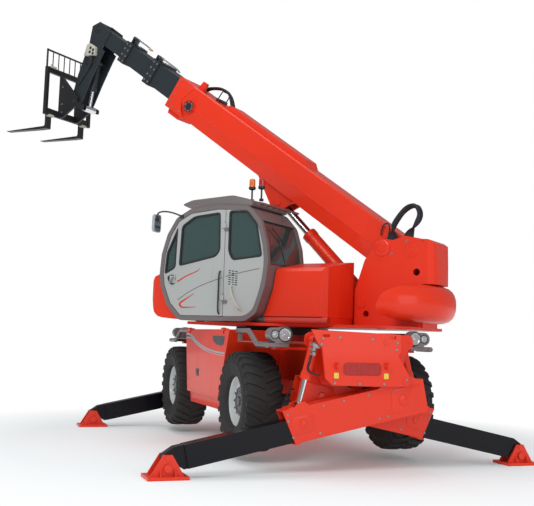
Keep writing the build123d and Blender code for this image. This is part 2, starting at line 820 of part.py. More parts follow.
def counterweight():
    """Cast counterweight, round in plan, around the rear of the turret."""
    body = Pos(weight_centre_x, 0, (weight_top_z + weight_bottom_z) / 2) * Cylinder(
        weight_radius, weight_top_z - weight_bottom_z)
    rear = weight_centre_x - weight_radius - 10
    body &= plate_xz(
        [
            (-1818, 1870),
            (-1894, 2046),
            (-2065, 2140),
            (-2230, weight_top_z + 5),
            (rear, weight_top_z + 5),
            (rear, weight_bottom_z - 5),
            (-2200, weight_bottom_z - 5),
            (-1948, 1740),
        ],
        -weight_radius,
        weight_radius,
    )
    body = fillet(body.edges().filter_by(GeomType.CIRCLE), 55)
    body -= block(-2192.0, -1700, -upright_outer_y, upright_outer_y, 1600, 2300)
    body -= block(-2150, -1700, -890, 890, 1600, turret_floor_z + turret_floor_thickness)
    return body


def rear_cover():
    """Cover behind the boom foot, rounded in plan."""
    points = [(-2190, weight_top_z + 4), (-2190, 2756), (-2258, 2750), (-2334, 2701), (-2366, 2300),
              (-2364, weight_top_z + 4)]
    cover = plate_xz(points, -upright_outer_y, upright_outer_y)
    half = upright_outer_y
    plan = [(-2189, half), (-2258, half), (-2320, half - 36), (-2356, half - 110), (-2370, 0),
            (-2356, 110 - half), (-2320, 36 - half), (-2258, -half), (-2189, -half)]
    return cover & plate_xy(plan, weight_top_z, 2800)


def turret_hood():
    """Red hoods beside the boom foot, and the nose before the cab."""
    floor = turret_floor_z + turret_floor_thickness
    section = [(upright_outer_y, hood_bottom_z), (hood_y, hood_bottom_z), (hood_y, 2300), (hood_y - 50, 2350),
               (387, 2462), (upright_outer_y, 2470)]
    left = plate_yz(section, -1240, -296)
    left -= plate_xz([(-290, 1700), (-412, 2360), (-430, 2500), (-200, 2500), (-200, 1700)], 200, 1100)
    left -= plate_xy([(-1300, 250), (-1241, 250), (-1238, 700), (-1204, 960), (-1150, 1041), (-1150, 1100),
                      (-1300, 1100)], 1600, 2600)
    right = plate_xz(
        [(660, floor), (620, 1990), (300, 2120), (-1240, 2250), (-1500, 2230), (-1519, floor)],
        -upright_outer_y,
        -hood_y,
    )
    right -= plate_xy([(-1900, -1100), (-1900, -700), (-1519, -760), (-1180, -1041), (-1100, -1100)], 1500, 2500)
    right -= pin(lift_foot_x, -upright_outer_y, lift_foot_z, 84, 24, "y")
    nose = plate_xz(
        [(930, 1668), (1038, 1668), (1230, 1684), (1312, 1704), (1380, 1755), (1426, 1837), (1468, 1980), (1474, 2140),
         (1440, 2205), (1385, 2250), (1310, 2274), (1200, 2282)], 330, 1180
    )
    nose &= plate_xy([(900, 330), (1440, 330), (1480, 370), (1480, 1040), (1455, 1115), (1390, 1162), (1290, 1180),
                      (900, 1180)], 1600, 2300)
    nose -= slab_xz(scaled_outline(cab_outline(), -seat_gap), 300, 1300)
    left -= slab_xz(scaled_outline(cab_outline(), -12), 200, 1300)
    return left, right, nose


# ---- cab -------------------------------------------------------------------------------
def cab_outline():
    """Side outline of the cab in X and Z, clockwise from the lower front."""
    return [
        (906, 1650),
        (1113, 1844),
        (1230, 2100),
        (1257, 2285),
        (1235, 2550),
        (1147, 2822),
        (1000, 3040),
        (771, 3153),
        (300, 3190),
        (-174, 3147),
        (-358, 2943),
        (-450, 2650),
        (-481, 2407),
        (-440, 2100),
        (-317, 1751),
        (-147, 1650),
    ]


def scaled_outline(points, inset):
    """The outline drawn in towards its inside by inset."""
    wire = make_face(Plane.XZ * FilletPolyline(*points, radius=corner_radius, close=True))
    return offset(wire, amount=-inset, kind=Kind.INTERSECTION)


def slab_xz(face, y0, y1):
    return Pos(0, max(y0, y1), 0) * extrude(face, amount=abs(y1 - y0), dir=(0, -1, 0))


def cab_frame():
    """Hollow cab with door opening, window openings and bonded side panel."""
    outline = cab_outline()
    shell = slab_xz(scaled_outline(outline, 0.001), cab_inner_y, cab_outer_y)
    shell -= slab_xz(scaled_outline(outline, cab_wall), cab_inner_y + cab_wall, cab_outer_y + 1)
    side_wall = slab_xz(scaled_outline(outline, cab_wall - 0.5), cab_outer_y - 45, cab_outer_y - 8)
    side_wall -= block(door_rear_x - 20, 1300, cab_outer_y - 60, cab_outer_y + 1, 1600, 3300)
    side_wall -= plate_xz(rear_window_points, cab_outer_y - 60, cab_outer_y)
    shell += side_wall
    front_cut = block(700, 1400, cab_inner_y + cab_wall, cab_outer_y - 60, 2120, 3000)
    rear_cut = block(-600, -200, cab_inner_y + cab_wall, cab_outer_y - 60, 2380, 2960)
    roof_cut = block(150, 700, cab_inner_y + 150, cab_outer_y - 150, 3100, 3300)
    inner_cut = plate_xz(inner_window_points, cab_inner_y - 1, cab_inner_y + cab_wall + 1)
    shell = shell - front_cut - rear_cut - roof_cut - inner_cut
    for z in hinge_z:
        shell += block(hinge_x - 60, hinge_x, cab_outer_y - 9, hinge_y + 6, z - 70, z - 30)
        shell += pin(hinge_x, hinge_y, z - 10, 8, 120, "z")
    return shell



def door_slab(inset, y0, y1):
    slab = slab_xz(scaled_outline(cab_outline(), cab_wall + inset), y0, y1)
    return slab - block(-700, door_rear_x, y0 - 5, y1 + 5, 1500, 3400)


def cab_door():
    door = door_slab(door_gap, cab_outer_y - 45, cab_outer_y - 5)
    door -= plate_xz(door_window_points, cab_outer_y - 60, cab_outer_y)
    door -= plate_xz(quarter_window_points, cab_outer_y - 60, cab_outer_y)
    handle = block(985, 1075, cab_outer_y - 6, cab_outer_y + 8, 2150, 2250)
    door += handle
    for z in hinge_z:
        door += block(hinge_x, hinge_x + 60, cab_outer_y - 9, hinge_y + 6, z - 29.7, z + 40)
        door += pin(hinge_x, hinge_y, z + 5.15, 14, 69.7, "z")
        door -= pin(hinge_x, hinge_y, z, 8 + running_gap, 200, "z")
    return door


def door_glass():
    panes = []
    for points in (door_window_points, quarter_window_points):
        panes.append(plate_xz(points, cab_outer_y - 30, cab_outer_y - 22))
    return panes


def cab_glass():
    """Bonded panes: rear side window, windscreen, rear window, roof window and boom side window."""
    y0, y1 = cab_inner_y + cab_wall, cab_outer_y - 60
    shell = slab_xz(scaled_outline(cab_outline(), 26), y0, y1)
    shell -= slab_xz(scaled_outline(cab_outline(), 32), y0 - 1, y1 + 1)
    windscreen = shell & block(700, 1400, y0, y1, 2120, 3000)
    rear = shell & block(-600, -200, y0, y1, 2380, 2960)
    roof = shell & block(150, 700, cab_inner_y + 150, cab_outer_y - 150, 3100, 3300)
    side = plate_xz(rear_window_points, cab_outer_y - 30, cab_outer_y - 22)
    inner = plate_xz(inner_window_points, cab_inner_y + 26, cab_inner_y + 32)
    return [windscreen, rear, roof, side, inner]


def cab_interior():
    """Seat, console and steering column on the cab floor."""
    mid = (cab_inner_y + cab_outer_y) / 2
    floor = cab_floor_z + cab_wall
    base = block(-60, 300, mid - 190, mid + 190, floor, floor + 420)
    cushion = block(-90, 420, mid - 250, mid + 250, floor + 420, floor + 540)
    back = plate_xz([(-90, floor + 500), (-220, floor + 1120), (-110, floor + 1120), (40, floor + 540)],
                    mid - 240, mid + 240)
    head = block(-230, -130, mid - 120, mid + 120, floor + 1110, floor + 1230)
    column = rod_between((730, mid, floor + 16), (606, mid, floor + 692), 45)
    column += block(670, 790, mid - 80, mid + 80, floor, floor + 40)
    column += Plane(origin=(606, mid, floor + 700), z_dir=(-0.35, 0, 1)) * Cylinder(190, 24)
    dash = block(760, 832, cab_inner_y + 130, cab_outer_y - 130, floor, floor + 430)
    return [base + cushion + back + head, column, dash]


def roof_fittings():
    """Roof cap, guard bars, beacons and mirror."""
    cap_y0, cap_y1 = cab_inner_y + 20, cab_outer_y - 20
    cap = plate_xz(
        [(771, 3153), (836, 3180), (933, 3222), (763, 3276), (102, 3305), (-160, 3238), (-206, 3170), (-174, 3147),
         (300, 3190)],
        cap_y0, cap_y1
    )
    for n in range(6):
        y = cap_y0 + 60 + n * (cap_y1 - cap_y0 - 120) / 5
        cap += rod_between((-150, y, 3206), (-400, y, 3156), 13)
    cap += rod_between((-400, cap_y0 + 40, 3156), (-400, cap_y1 - 40, 3156), 15)
    fittings = [cap]
    for x in beacon_x:
        post = pin(x, beacon_y, 3345, 12, 240, "z") + pin(x, beacon_y, 3455, 42, 30, "z")
        post += pin(x, beacon_y, 3525, 36, 112, "z")
        fittings[0] += post
    arm = block(990, 1050, cab_outer_y, cab_outer_y + 12, 2960, 3020)
    arm += rod_between((1020, cab_outer_y + 11, 2990), (1130, 1330, 3080), 11)
    arm += rod_between((1130, 1330, 3080), (1250, 1330, 3110), 11) + Pos(1130, 1330, 3080) * Sphere(11)
    arm += rod_between((1250, 1330, 3110), (1255, 1330, 2990), 11) + Pos(1250, 1330, 3110) * Sphere(11)
    arm += block(1245, 1300, 1240, 1420, 2840, 3090)
    fittings.append(arm)
    return fittings



# ---- boom ------------------------------------------------------------------------------
def boom_profile(half, low, high, corner):
    """Cross-section of the outer box, wider above its crease."""
    crease = low + 0.4 * (high - low)
    return [
        (-half + corner, low),
        (half - corner, low),
        (half, crease),
        (half, high - 20),
        (half - 20, high),
        (-half + 20, high),
        (-half, high - 20),
        (-half, crease),
    ]


def tube_along_s(points, s0, s1):
    return plate_yz(points, s0, s1)


def boom_outer():
    """Red outer box with its foot, cylinder bracket, front collar and hose channel."""
    outer = tube_along_s(boom_profile(boom_half_width, boom_bottom_t, boom_top_t, 45), boom_tail_s, boom_front_s)
    inner = tube_along_s(
        boom_profile(boom_half_width - boom_wall, boom_bottom_t + boom_wall, boom_top_t - boom_wall, 45),
        boom_tail_s + 30,
        boom_front_s + 1,
    )
    body = outer - inner
    channel = plate_xz([(1650, 250), (1760, 335), (3350, 335), (3420, 255)], -150, 190)
    body += channel
    lip = plate_yz(
        [(-250, section_mid_t - 230), (250, section_mid_t - 230), (250, section_mid_t + 226),
         (-250, section_mid_t + 226)], boom_front_s - 40, boom_front_s)
    lip -= block(boom_front_s - 60, boom_front_s + 10, -second_half - seat_gap, second_half + seat_gap,
                 section_mid_t - second_tall - seat_gap, section_mid_t + second_tall + seat_gap)
    body += lip
    for side in (-1, 1):
        y0, y1 = sorted((side * lift_bracket_y, side * (lift_bracket_y + 30)))
        bracket = plate_xz(
            [(1560, boom_bottom_t + 6), (1690, -470), (1880, -490), (2340, boom_bottom_t + 6)], y0, y1
        )
        body += bracket
        body += pin(3950, side * (boom_half_width + 15), -40, 100, 34, "y")
        body += pin(lift_eye_s, side * (lift_bracket_y + 22), lift_eye_t, lift_pin_radius, 44, "y")
    for s0, s1, slot_y in ((lift_eye_s - 260, lift_eye_s + 300, lift_bracket_y), (500, lift_eye_s - 250, 75)):
        body -= block(s0, s1, -slot_y, slot_y, boom_bottom_t - 1, boom_bottom_t + boom_wall + 1)
    foot = pin(0, 0, 0, 150, 2 * boom_half_width, "y")
    body += foot
    body -= pin(0, 0, 0, pivot_pin_radius + running_gap, 2 * boom_half_width + 20, "y")
    body += plate_xz([(3990, 255), (3990, 385), (4070, 385), (4100, 255)], 60, 120)
    body += plate_xz([(4080, boom_bottom_t + 2), (4110, -330), (4340, -330), (4360, boom_bottom_t + 2)], -170, 170)
    return body


def boom_section(name):
    rear, front, half, tall, wall = boom_sections[name]
    low, high = section_mid_t - tall, section_mid_t + tall
    body = block(rear, front, -half, half, low, high)
    body -= block(rear - 1, front + 1, -half + wall, half - wall, low + wall, high - wall)
    return body, (rear, front, half, tall, wall)


def extending_section(name, nxt):
    """A hollow section whose front collar guides the next one out."""
    body, (rear, front, half, tall, wall) = boom_section(name)
    _, _, next_half, next_tall, _ = boom_sections[nxt]
    bigger = 26.0
    collar = block(front - 150, front, -half - bigger, half + bigger, section_mid_t - tall - bigger,
                   section_mid_t + tall + bigger)
    collar -= block(front - 151, front + 1, -next_half - seat_gap, next_half + seat_gap,
                    section_mid_t - next_tall - seat_gap, section_mid_t + next_tall + seat_gap)
    return body + collar


def boom_tip():
    """Inner section, its head and the gooseneck that reaches down to the carriage."""
    body, (rear, front, half, tall, wall) = boom_section("boom_tip")
    for side in (-1, 1):
        y0, y1 = sorted((side * (half - 1), side * (half + 16)))
        cheek = plate_xz(
            [(6268, 150), (6290, 190), (6600, 195), (6710, 60), (6655, -60), (6592, -196), (6492, -640),
             (6464, -760), (6330, -1160), (tilt_pin_s + 40, tilt_pin_t - 70), (tilt_pin_s - 60, tilt_pin_t - 60),
             (6085, -1080), (6140, -720), (6185, -320), (6195, -160), (6268, -155)],
            y0,
            y1,
        )
        body += cheek
    body += plate_xz([(6560, 180), (6600, 190), (6706, 60), (6650, -60), (6588, -196), (6494, -620), (6464, -610),
                      (6556, -200), (6610, -80)],
                     -half, half)
    body += pin(tilt_pin_s, 0, tilt_pin_t, tilt_pin_radius, 424, "y")
    body += pin(tilt_top_s, 0, tilt_top_t, tilt_top_pin_radius, 2 * half + 32, "y")
    return body


def fork_carriage():
    """Carriage frame with backrest guard and two forks, in the turret frame."""
    pivot = boom_to_turret(tilt_pin_s, tilt_pin_t)
    x0 = fork_heel_x - fork_shank
    top_z = 6190.0
    rail_z = (5062.0, 5790.0)
    half = 540.0
    parts = block(x0 - 50, x0, -half, half, rail_z[0], rail_z[0] + 110)
    parts += block(x0 - 50, x0, -half, half, rail_z[1], rail_z[1] + 90)
    for side in (-1, 1):
        parts += block(x0 - 55, x0, side * half, side * (half - 60), rail_z[0], rail_z[1] + 90)
        y0, y1 = sorted((side * 170, side * 205))
        parts += plate_xz(
            [(x0 - 10, rail_z[0]), (x0 - 10, rail_z[1] + 60), (x0 - 110, rail_z[1] - 40),
             (pivot[0] - 75, pivot[1] + 60), (pivot[0] - 60, pivot[1] - 70), (x0 - 120, rail_z[0])],
            y0,
            y1,
        )
        parts += rod_between((x0 - 18, side * (half - 20), rail_z[1]), (x0 - 18, side * (half - 20), top_z), 16)
    parts += rod_between((x0 - 18, -half + 20, top_z - 16), (x0 - 18, half - 20, top_z - 16), 16)
    for n in range(1, 8):
        y = -half + 20 + n * (2 * half - 40) / 8
        parts += rod_between((x0 - 18, y, rail_z[1] + 40), (x0 - 18, y, top_z - 16), 9)
    lever = boom_to_turret(*tilt_eye())
    for side in (-1, 1):
        y0, y1 = sorted((side * 171, side * 200))
        parts += plate_xz(
            [(pivot[0] + 60, pivot[1] + 60), (lever[0] - 45, lever[1] + 30), (lever[0] - 30, lever[1] - 45),
             (pivot[0] + 60, pivot[1] - 70)],
            y0,
            y1,
        )
        parts += pin(lever[0], side * 192, lever[1], 32, 44, "y")
    parts -= pin(pivot[0], 0, pivot[1], tilt_pin_radius + running_gap, 600, "y")
    for side in (-1, 1):
        y0, y1 = sorted((side * (fork_half_spacing - fork_half_width), side * (fork_half_spacing + fork_half_width)))
        fork = plate_xz(
            [(x0 - 1, rail_z[0] + 130), (fork_heel_x, rail_z[0] + 130), (fork_heel_x, fork_top_z + 20),
             (fork_heel_x + 20, fork_top_z), (fork_heel_x + fork_length, fork_top_z),
             (fork_heel_x + fork_length, fork_top_z - 8), (fork_heel_x + 120, fork_top_z - 45),
             (x0 - 1, fork_top_z - 45)],
            y0,
            y1,
        )
        parts += fork
    return parts


def tilt_eye():
    """Boom coordinates of the tilt cylinder's rod eye."""
    return tilt_pin_s - tilt_lever, tilt_pin_t


def build():
    nodes = {}
    frame = chassis_frame()
    nodes["chassis_frame"] = frame
    nodes["slew_ring"] = slew_ring()
    nodes["engine_housing"] = engine_housing()
    nodes["engine_cover"] = engine_cover()
    nodes["engine_block"] = engine_block()
    nodes["tank_box"] = tank_box()
    nodes["lamp_rails"] = Compound(lamp_rails())
    nodes["headlamps"] = Compound(headlamps())
    one_axle = axle()
    nodes["front_axle"] = Pos(axle_x, 0, axle_z) * one_axle
    nodes["rear_axle"] = Pos(-axle_x, 0, axle_z) * Rot(0, 0, 180) * one_axle
    wheel_rim = rim()
    carcass, lugs = tyre()
    wheel_tyre = carcass + lugs
    swivel = knuckle()
    for sx, sy, name in corners:
        place = wheel_place(sx, sy)
        nodes[f"{name}_rim"] = place * wheel_rim
        nodes[f"{name}_tyre"] = place * wheel_tyre
        turn = Rot(0, 0, 0) if sy > 0 else Rot(0, 0, 180)
        nodes[f"{name}_knuckle"] = Pos(sx * axle_x, sy * kingpin_y, axle_z) * turn * swivel
    arm, leg, foot = stabiliser_arm(), stabiliser_leg(), stabiliser_foot()
    for name, x, side in stabilisers:
        place = arm_place(x, side)
        top, eye = jack_ends(x, side)
        nodes[f"{name}_arm"] = place * arm
        nodes[f"{name}_leg"] = place * leg
        nodes[f"{name}_foot"] = Pos(*foot_centre(x, side)) * foot
        nodes[f"{name}_jack_barrel"] = cylinder_barrel(
            top, eye, jack_barrel_radius, jack_rod_radius + running_gap, jack_barrel_length, jack_pin_radius, 90, "x"
        )
        nodes[f"{name}_jack_rod"] = cylinder_rod(
            top, eye, jack_rod_radius, jack_rod_start, jack_eye_radius, jack_pin_radius, 90, "x", jack_eye_play
        )
    nodes["turret_frame"] = on_turret(turret_frame())
    nodes["counterweight"] = on_turret(counterweight())
    nodes["turret_hood"] = on_turret(Compound([*turret_hood(), rear_cover()]))
    nodes["cab_frame"] = on_turret(cab_frame())
    nodes["cab_glass"] = on_turret(Compound(cab_glass()))
    nodes["cab_interior"] = on_turret(Compound(cab_interior()))
    nodes["roof_fittings"] = on_turret(Compound(roof_fittings()))
    nodes["cab_door"] = on_turret(cab_door())
    nodes["door_glass"] = on_turret(Compound(door_glass()))
    nodes["boom_outer"] = on_boom(boom_outer())
    nodes["boom_second"] = on_boom(extending_section("boom_second", "boom_third"))
    nodes["boom_third"] = on_boom(extending_section("boom_third", "boom_tip"))
    nodes["boom_tip"] = on_boom(boom_tip())
    nodes["fork_carriage"] = on_turret(fork_carriage())
    lift_top = (lift_foot_x, 0, lift_foot_z)
    eye_x, eye_z = boom_to_turret(lift_eye_s, lift_eye_t)
    lift_eye = (eye_x, 0, eye_z)
    nodes["lift_barrel"] = on_turret(
        cylinder_barrel(lift_top, lift_eye, lift_barrel_radius, lift_rod_radius + running_gap, lift_barrel_length,
                        lift_pin_radius, 140, "y"))
    nodes["lift_rod"] = on_turret(
        cylinder_rod(lift_top, lift_eye, lift_rod_radius, lift_rod_start, lift_pin_radius + 28, 0,
                     2 * lift_eye_half, "y"))
    tx, tz = boom_to_turret(tilt_top_s, tilt_top_t)
    ex, ez = boom_to_turret(*tilt_eye())
    nodes["tilt_barrel"] = on_turret(
        cylinder_barrel((tx, 0, tz), (ex, 0, ez), tilt_barrel_radius, tilt_rod_radius + running_gap,
                        tilt_barrel_length, tilt_top_pin_radius, 100, "y"))
    nodes["tilt_rod"] = on_turret(
        cylinder_rod((tx, 0, tz), (ex, 0, ez), tilt_rod_radius, tilt_rod_start, tilt_eye_radius, 0, 240, "y"))
    return nodes


def main():
    os.makedirs("parts", exist_ok=True)
    for name, shape in build().items():
        export_step(shape, f"parts/{name}.step")


if __name__ == "__main__":
    main()
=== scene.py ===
"""Finishes, trim and studio for a rotating telehandler, laid out as a Blender add-on and run as a script."""
from math import cos, pi, radians, sin

import bmesh
import bpy
from bpy.props import FloatProperty, FloatVectorProperty, IntProperty, PointerProperty
from mathutils import Matrix, Vector
from mathutils.geometry import tessellate_polygon


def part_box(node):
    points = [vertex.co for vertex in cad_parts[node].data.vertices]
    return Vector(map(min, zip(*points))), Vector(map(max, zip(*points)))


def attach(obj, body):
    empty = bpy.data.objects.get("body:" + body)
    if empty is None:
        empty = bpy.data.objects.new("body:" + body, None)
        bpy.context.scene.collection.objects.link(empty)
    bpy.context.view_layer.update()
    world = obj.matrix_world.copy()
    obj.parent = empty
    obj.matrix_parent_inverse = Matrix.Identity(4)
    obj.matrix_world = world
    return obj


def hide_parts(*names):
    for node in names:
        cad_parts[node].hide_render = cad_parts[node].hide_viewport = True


bl_info = {
    "name": "Rotating Telehandler Finishes",
    "version": (1, 0, 0),
    "blender": (4, 5, 0),
    "location": "View3D > Sidebar > Telehandler",
    "description": "Builds the paint, tyres, trim and studio of a rotating telehandler",
    "category": "Object",
}

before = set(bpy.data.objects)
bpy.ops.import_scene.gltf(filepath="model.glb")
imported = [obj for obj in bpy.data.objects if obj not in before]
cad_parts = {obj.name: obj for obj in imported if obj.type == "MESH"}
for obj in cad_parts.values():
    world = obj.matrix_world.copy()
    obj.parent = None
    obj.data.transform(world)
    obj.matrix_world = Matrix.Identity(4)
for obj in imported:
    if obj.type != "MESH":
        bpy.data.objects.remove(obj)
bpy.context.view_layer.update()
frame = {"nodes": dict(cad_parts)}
nodes = frame["nodes"]
CORNERS = ("front_left", "front_right", "rear_left", "rear_right")
SLEW = radians(218.6)
BOOM = radians(35.5)
PIVOT = Vector((-1.635, 0.0, 2.657))
TURRET = Matrix.Rotation(SLEW, 4, "Z")
END_PLATE = 2.765  # outer faces of the end plates, either way from the slew axis
COVER_FACE = -1.15  # outer face of the engine cover
ON_BOOM = TURRET @ Matrix.Translation(PIVOT) @ Matrix.Rotation(-BOOM, 4, "Y")


# ---- settings --------------------------------------------------------------------------
def colour(name, description, value):
    return FloatVectorProperty(name=name, description=description, subtype="COLOR", size=4, min=0, max=1,
                               default=(*value, 1.0))


class TelehandlerColours(bpy.types.PropertyGroup):
    body: colour("Body", "Gloss paint of chassis, turret and outer boom", (0.8, 0.036, 0.01))
    boom: colour("Boom sections", "Satin paint of the sliding boom sections", (0.022, 0.029, 0.034))
    frame: colour("Cab frame", "Paint of the cab's frame, skirt and lamp rails", (0.165, 0.14, 0.14))
    door: colour("Cab door", "Paint of the cab door and side panel", (0.42, 0.44, 0.43))
    rim: colour("Rims", "Silver paint of the rims", (0.64, 0.68, 0.69))
    leg: colour("Legs", "Paint of the sliding stabiliser legs", (0.002, 0.002, 0.005))
    glass: colour("Glass", "Tint of the cab's glass", (0.045, 0.085, 0.082))
    tyre: colour("Tyres", "Rubber of the tyres", (0.011, 0.011, 0.012))
    beacon: colour("Beacon", "Lens of the turning beacon", (0.9, 0.2, 0.01))
    dust: colour("Dust", "Road dust on tyres and low steel", (0.32, 0.27, 0.22))


class TelehandlerSizes(bpy.types.PropertyGroup):
    lug_pitch: IntProperty(name="Lugs", description="Tread lugs on each side of a tyre", default=26, min=8, max=60)
    lug_height: FloatProperty(name="Lug height", description="Depth of the tread", default=0.022, unit="LENGTH")
    nut_count: IntProperty(name="Wheel nuts", description="Nuts on each wheel", default=10, min=3, max=20)
    nut_circle: FloatProperty(name="Nut circle", description="Radius of the ring of wheel nuts", default=0.1425,
                              unit="LENGTH")


# ---- shader groups ---------------------------------------------------------------------
GROUPS = {}
MATERIALS = {}


def feed(node, inputs):
    """Gives a node's inputs, by name or number, their values or links."""
    for key, value in inputs.items():
        if hasattr(value, "is_output"):
            node.id_data.links.new(value, node.inputs[key])
        elif value is not None:
            node.inputs[key].default_value = value
    return node


def add_node(tree, kind, inputs=None, **settings):
    node = tree.nodes.new(kind)
    for key, value in settings.items():
        setattr(node, key, value)
    return feed(node, inputs or {})


def new_group(name, inputs, outputs, kind="Shader"):
    """A node group from (label, type, default) inputs and (label, type) outputs."""
    group = GROUPS[name] = bpy.data.node_groups.new(name, kind + "NodeTree")
    for label, socket_type, value in inputs:
        socket = group.interface.new_socket(label, in_out="INPUT", socket_type="NodeSocket" + socket_type)
        if value is not None:
            socket.default_value = value
    for label, socket_type in outputs:
        group.interface.new_socket(label, in_out="OUTPUT", socket_type="NodeSocket" + socket_type)
    return group, add_node(group, "NodeGroupInput").outputs, add_node(group, "NodeGroupOutput")


def math_node(tree, kind, a, b=None, clamp=False):
    return add_node(tree, "ShaderNodeMath", {0: a, 1: b}, operation=kind, use_clamp=clamp).outputs[0]


def mix_colour(tree, factor, a, b):
    return add_node(tree, "ShaderNodeMix", {0: factor, 6: a, 7: b}, data_type="RGBA").outputs[2]


def noise(tree, scale, detail=4.0, roughness=0.55, stretch=None):
    source = add_node(tree, "ShaderNodeTexCoord").outputs["Object"]
    if stretch:
        source = add_node(tree, "ShaderNodeMapping", {"Scale": stretch, "Vector": source}).outputs["Vector"]
    return add_node(tree, "ShaderNodeTexNoise", {"Scale": scale, "Detail": detail, "Roughness": roughness,
                                                 "Vector": source}).outputs["Fac"]


def build_edge_group():
    """Rounds sharp edges a little and gives a mask of them."""
    group, given, out = new_group("Soft Edges", (("Radius", "Float", 0.004),),
                                  (("Normal", "Vector"), ("Mask", "Float")))
    soft = add_node(group, "ShaderNodeBevel", {"Radius": given["Radius"]}, samples=4).outputs["Normal"]
    true = add_node(group, "ShaderNodeNewGeometry").outputs["True Normal"]
    dot = add_node(group, "ShaderNodeVectorMath", {0: soft, 1: true}, operation="DOT_PRODUCT")
    edge = math_node(group, "SUBTRACT", 1.0, dot.outputs["Value"], clamp=True)
    mask = math_node(group, "MULTIPLY", math_node(group, "MULTIPLY", edge, 5.0), noise(group, 18.0), clamp=True)
    feed(out, {"Normal": soft, "Mask": mask})


def build_dust_group():
    """Dust that thickens towards the ground and settles in patches."""
    group, given, out = new_group("Road Dust", (("Height", "Float", 1.2), ("Amount", "Float", 0.5)),
                                  (("Mask", "Float"),))
    point = add_node(group, "ShaderNodeTexCoord").outputs["Object"]
    height = add_node(group, "ShaderNodeSeparateXYZ", {0: point}).outputs["Z"]
    low = math_node(group, "SUBTRACT", 1.0, math_node(group, "DIVIDE", height, given["Height"]), clamp=True)
    patches = math_node(group, "MULTIPLY", low, noise(group, 5.0, 6.0, 0.65))
    spread = math_node(group, "MULTIPLY", patches, 2.0)
    feed(out, {"Mask": math_node(group, "MULTIPLY", spread, given["Amount"], clamp=True)})


def build_drift_group():
    """Slow drift of a paint's brightness, upright streaks and fine orange peel."""
    group, given, out = new_group(
        "Paint Drift", (("Colour", "Color", (1, 1, 1, 1)), ("Drift", "Float", 0.08), ("Peel", "Float", 120.0)),
        (("Colour", "Color"), ("Streaks", "Float"), ("Peel", "Float")))
    broad = math_node(group, "SUBTRACT", noise(group, 1.1, 3.0), 0.5)
    level = math_node(group, "ADD", math_node(group, "MULTIPLY", broad, given["Drift"]), 1.0)
    paint = add_node(group, "ShaderNodeHueSaturation", {"Color": given["Colour"], "Value": level})
    feed(out, {"Colour": paint.outputs["Color"], "Streaks": noise(group, 9.0, 4.0, 0.6, (1.0, 1.0, 0.22)),
               "Peel": noise(group, given["Peel"], 2.0)})


def place_group(tree, name, **values):
    inputs = {label.title(): value for label, value in values.items()}
    return add_node(tree, "ShaderNodeGroup", inputs, node_tree=GROUPS[name]).outputs


def blank(name):
    material = MATERIALS[name] = bpy.data.materials.new(name)
    material.use_nodes = True
    return material.node_tree, material.node_tree.nodes["Principled BSDF"]


def relief(tree, shader, height, normal, strength, distance):
    """Fine bumps on top of softened edges."""
    bump = add_node(tree, "ShaderNodeBump", {"Strength": strength, "Distance": distance, "Height": height,
                                             "Normal": normal})
    feed(shader, {"Normal": bump.outputs["Normal"]})


def coated(name, tint, roughness=0.3, coat=0.6, metal=0.0, wear=0.25, worn=None, dust=0.3, drift=0.12, peel=140.0,
           bump=0.02, specular=0.5):
    """Painted or cast metal: drifting colour, softened worn edges, streaks and low dust."""
    tree, shader = blank(name)
    paint = place_group(tree, "Paint Drift", colour=tint, drift=drift, peel=peel)
    edges = place_group(tree, "Soft Edges", radius=0.004)
    dirt = place_group(tree, "Road Dust", height=1.3, amount=dust)["Mask"]
    worn = worn or tuple(min(1.0, 0.5 * c + 0.18) for c in tint[:3]) + (1.0,)
    base = mix_colour(tree, math_node(tree, "MULTIPLY", edges["Mask"], wear), paint["Colour"], worn)
    dusty = mix_colour(tree, dirt, base, tuple(bpy.context.scene.telehandler_colours.dust))
    streak = math_node(tree, "ADD", math_node(tree, "MULTIPLY", paint["Streaks"], 0.16), roughness - 0.08)
    level = math_node(tree, "ADD", streak, math_node(tree, "MULTIPLY", dirt, 0.4), clamp=True)
    relief(tree, shader, paint["Peel"], edges["Normal"], bump, 0.002)
    feed(shader, {"Base Color": dusty, "Roughness": level, "Metallic": metal, "Specular IOR Level": specular,
                  "Coat Weight": coat, "Coat Roughness": 0.06})


def rubber(name, tint, roughness=0.75, dust=0.5, grain=90.0, strength=0.25):
    """Rubber and moulded plastic: fine grain, dust in the low places."""
    tree, shader = blank(name)
    dirt = place_group(tree, "Road Dust", height=1.9, amount=dust)["Mask"]
    paint = place_group(tree, "Paint Drift", colour=tint, drift=0.5, peel=grain)
    settled = tuple(0.45 * c for c in bpy.context.scene.telehandler_colours.dust[:3]) + (1.0,)
    streak = math_node(tree, "MULTIPLY", paint["Streaks"], 0.2)
    relief(tree, shader, paint["Peel"], place_group(tree, "Soft Edges", radius=0.003)["Normal"], strength, 0.003)
    feed(shader, {"Base Color": mix_colour(tree, dirt, paint["Colour"], settled),
                  "Roughness": math_node(tree, "ADD", streak, roughness - 0.1)})


def chromed(name):
    tree, shader = blank(name)
    rings = math_node(tree, "MULTIPLY", noise(tree, 30.0, 3.0, 0.5, (1.0, 1.0, 4.0)), 0.12)
    feed(shader, {"Base Color": (0.78, 0.79, 0.80, 1.0), "Metallic": 1.0,
                  "Roughness": math_node(tree, "ADD", rings, 0.07)})


def tinted(name, tint, alpha, metal=0.0):
    """Tinted safety glass, clear enough to see the cab's inside."""
    tree, shader = blank(name)
    film = math_node(tree, "MULTIPLY", noise(tree, 3.0, 5.0, 0.6), 0.06)
    feed(shader, {"Base Color": tint, "Alpha": alpha, "Coat Weight": 1.0, "Coat Roughness": 0.02, "Metallic": metal,
                  "Roughness": math_node(tree, "ADD", film, 0.03)})


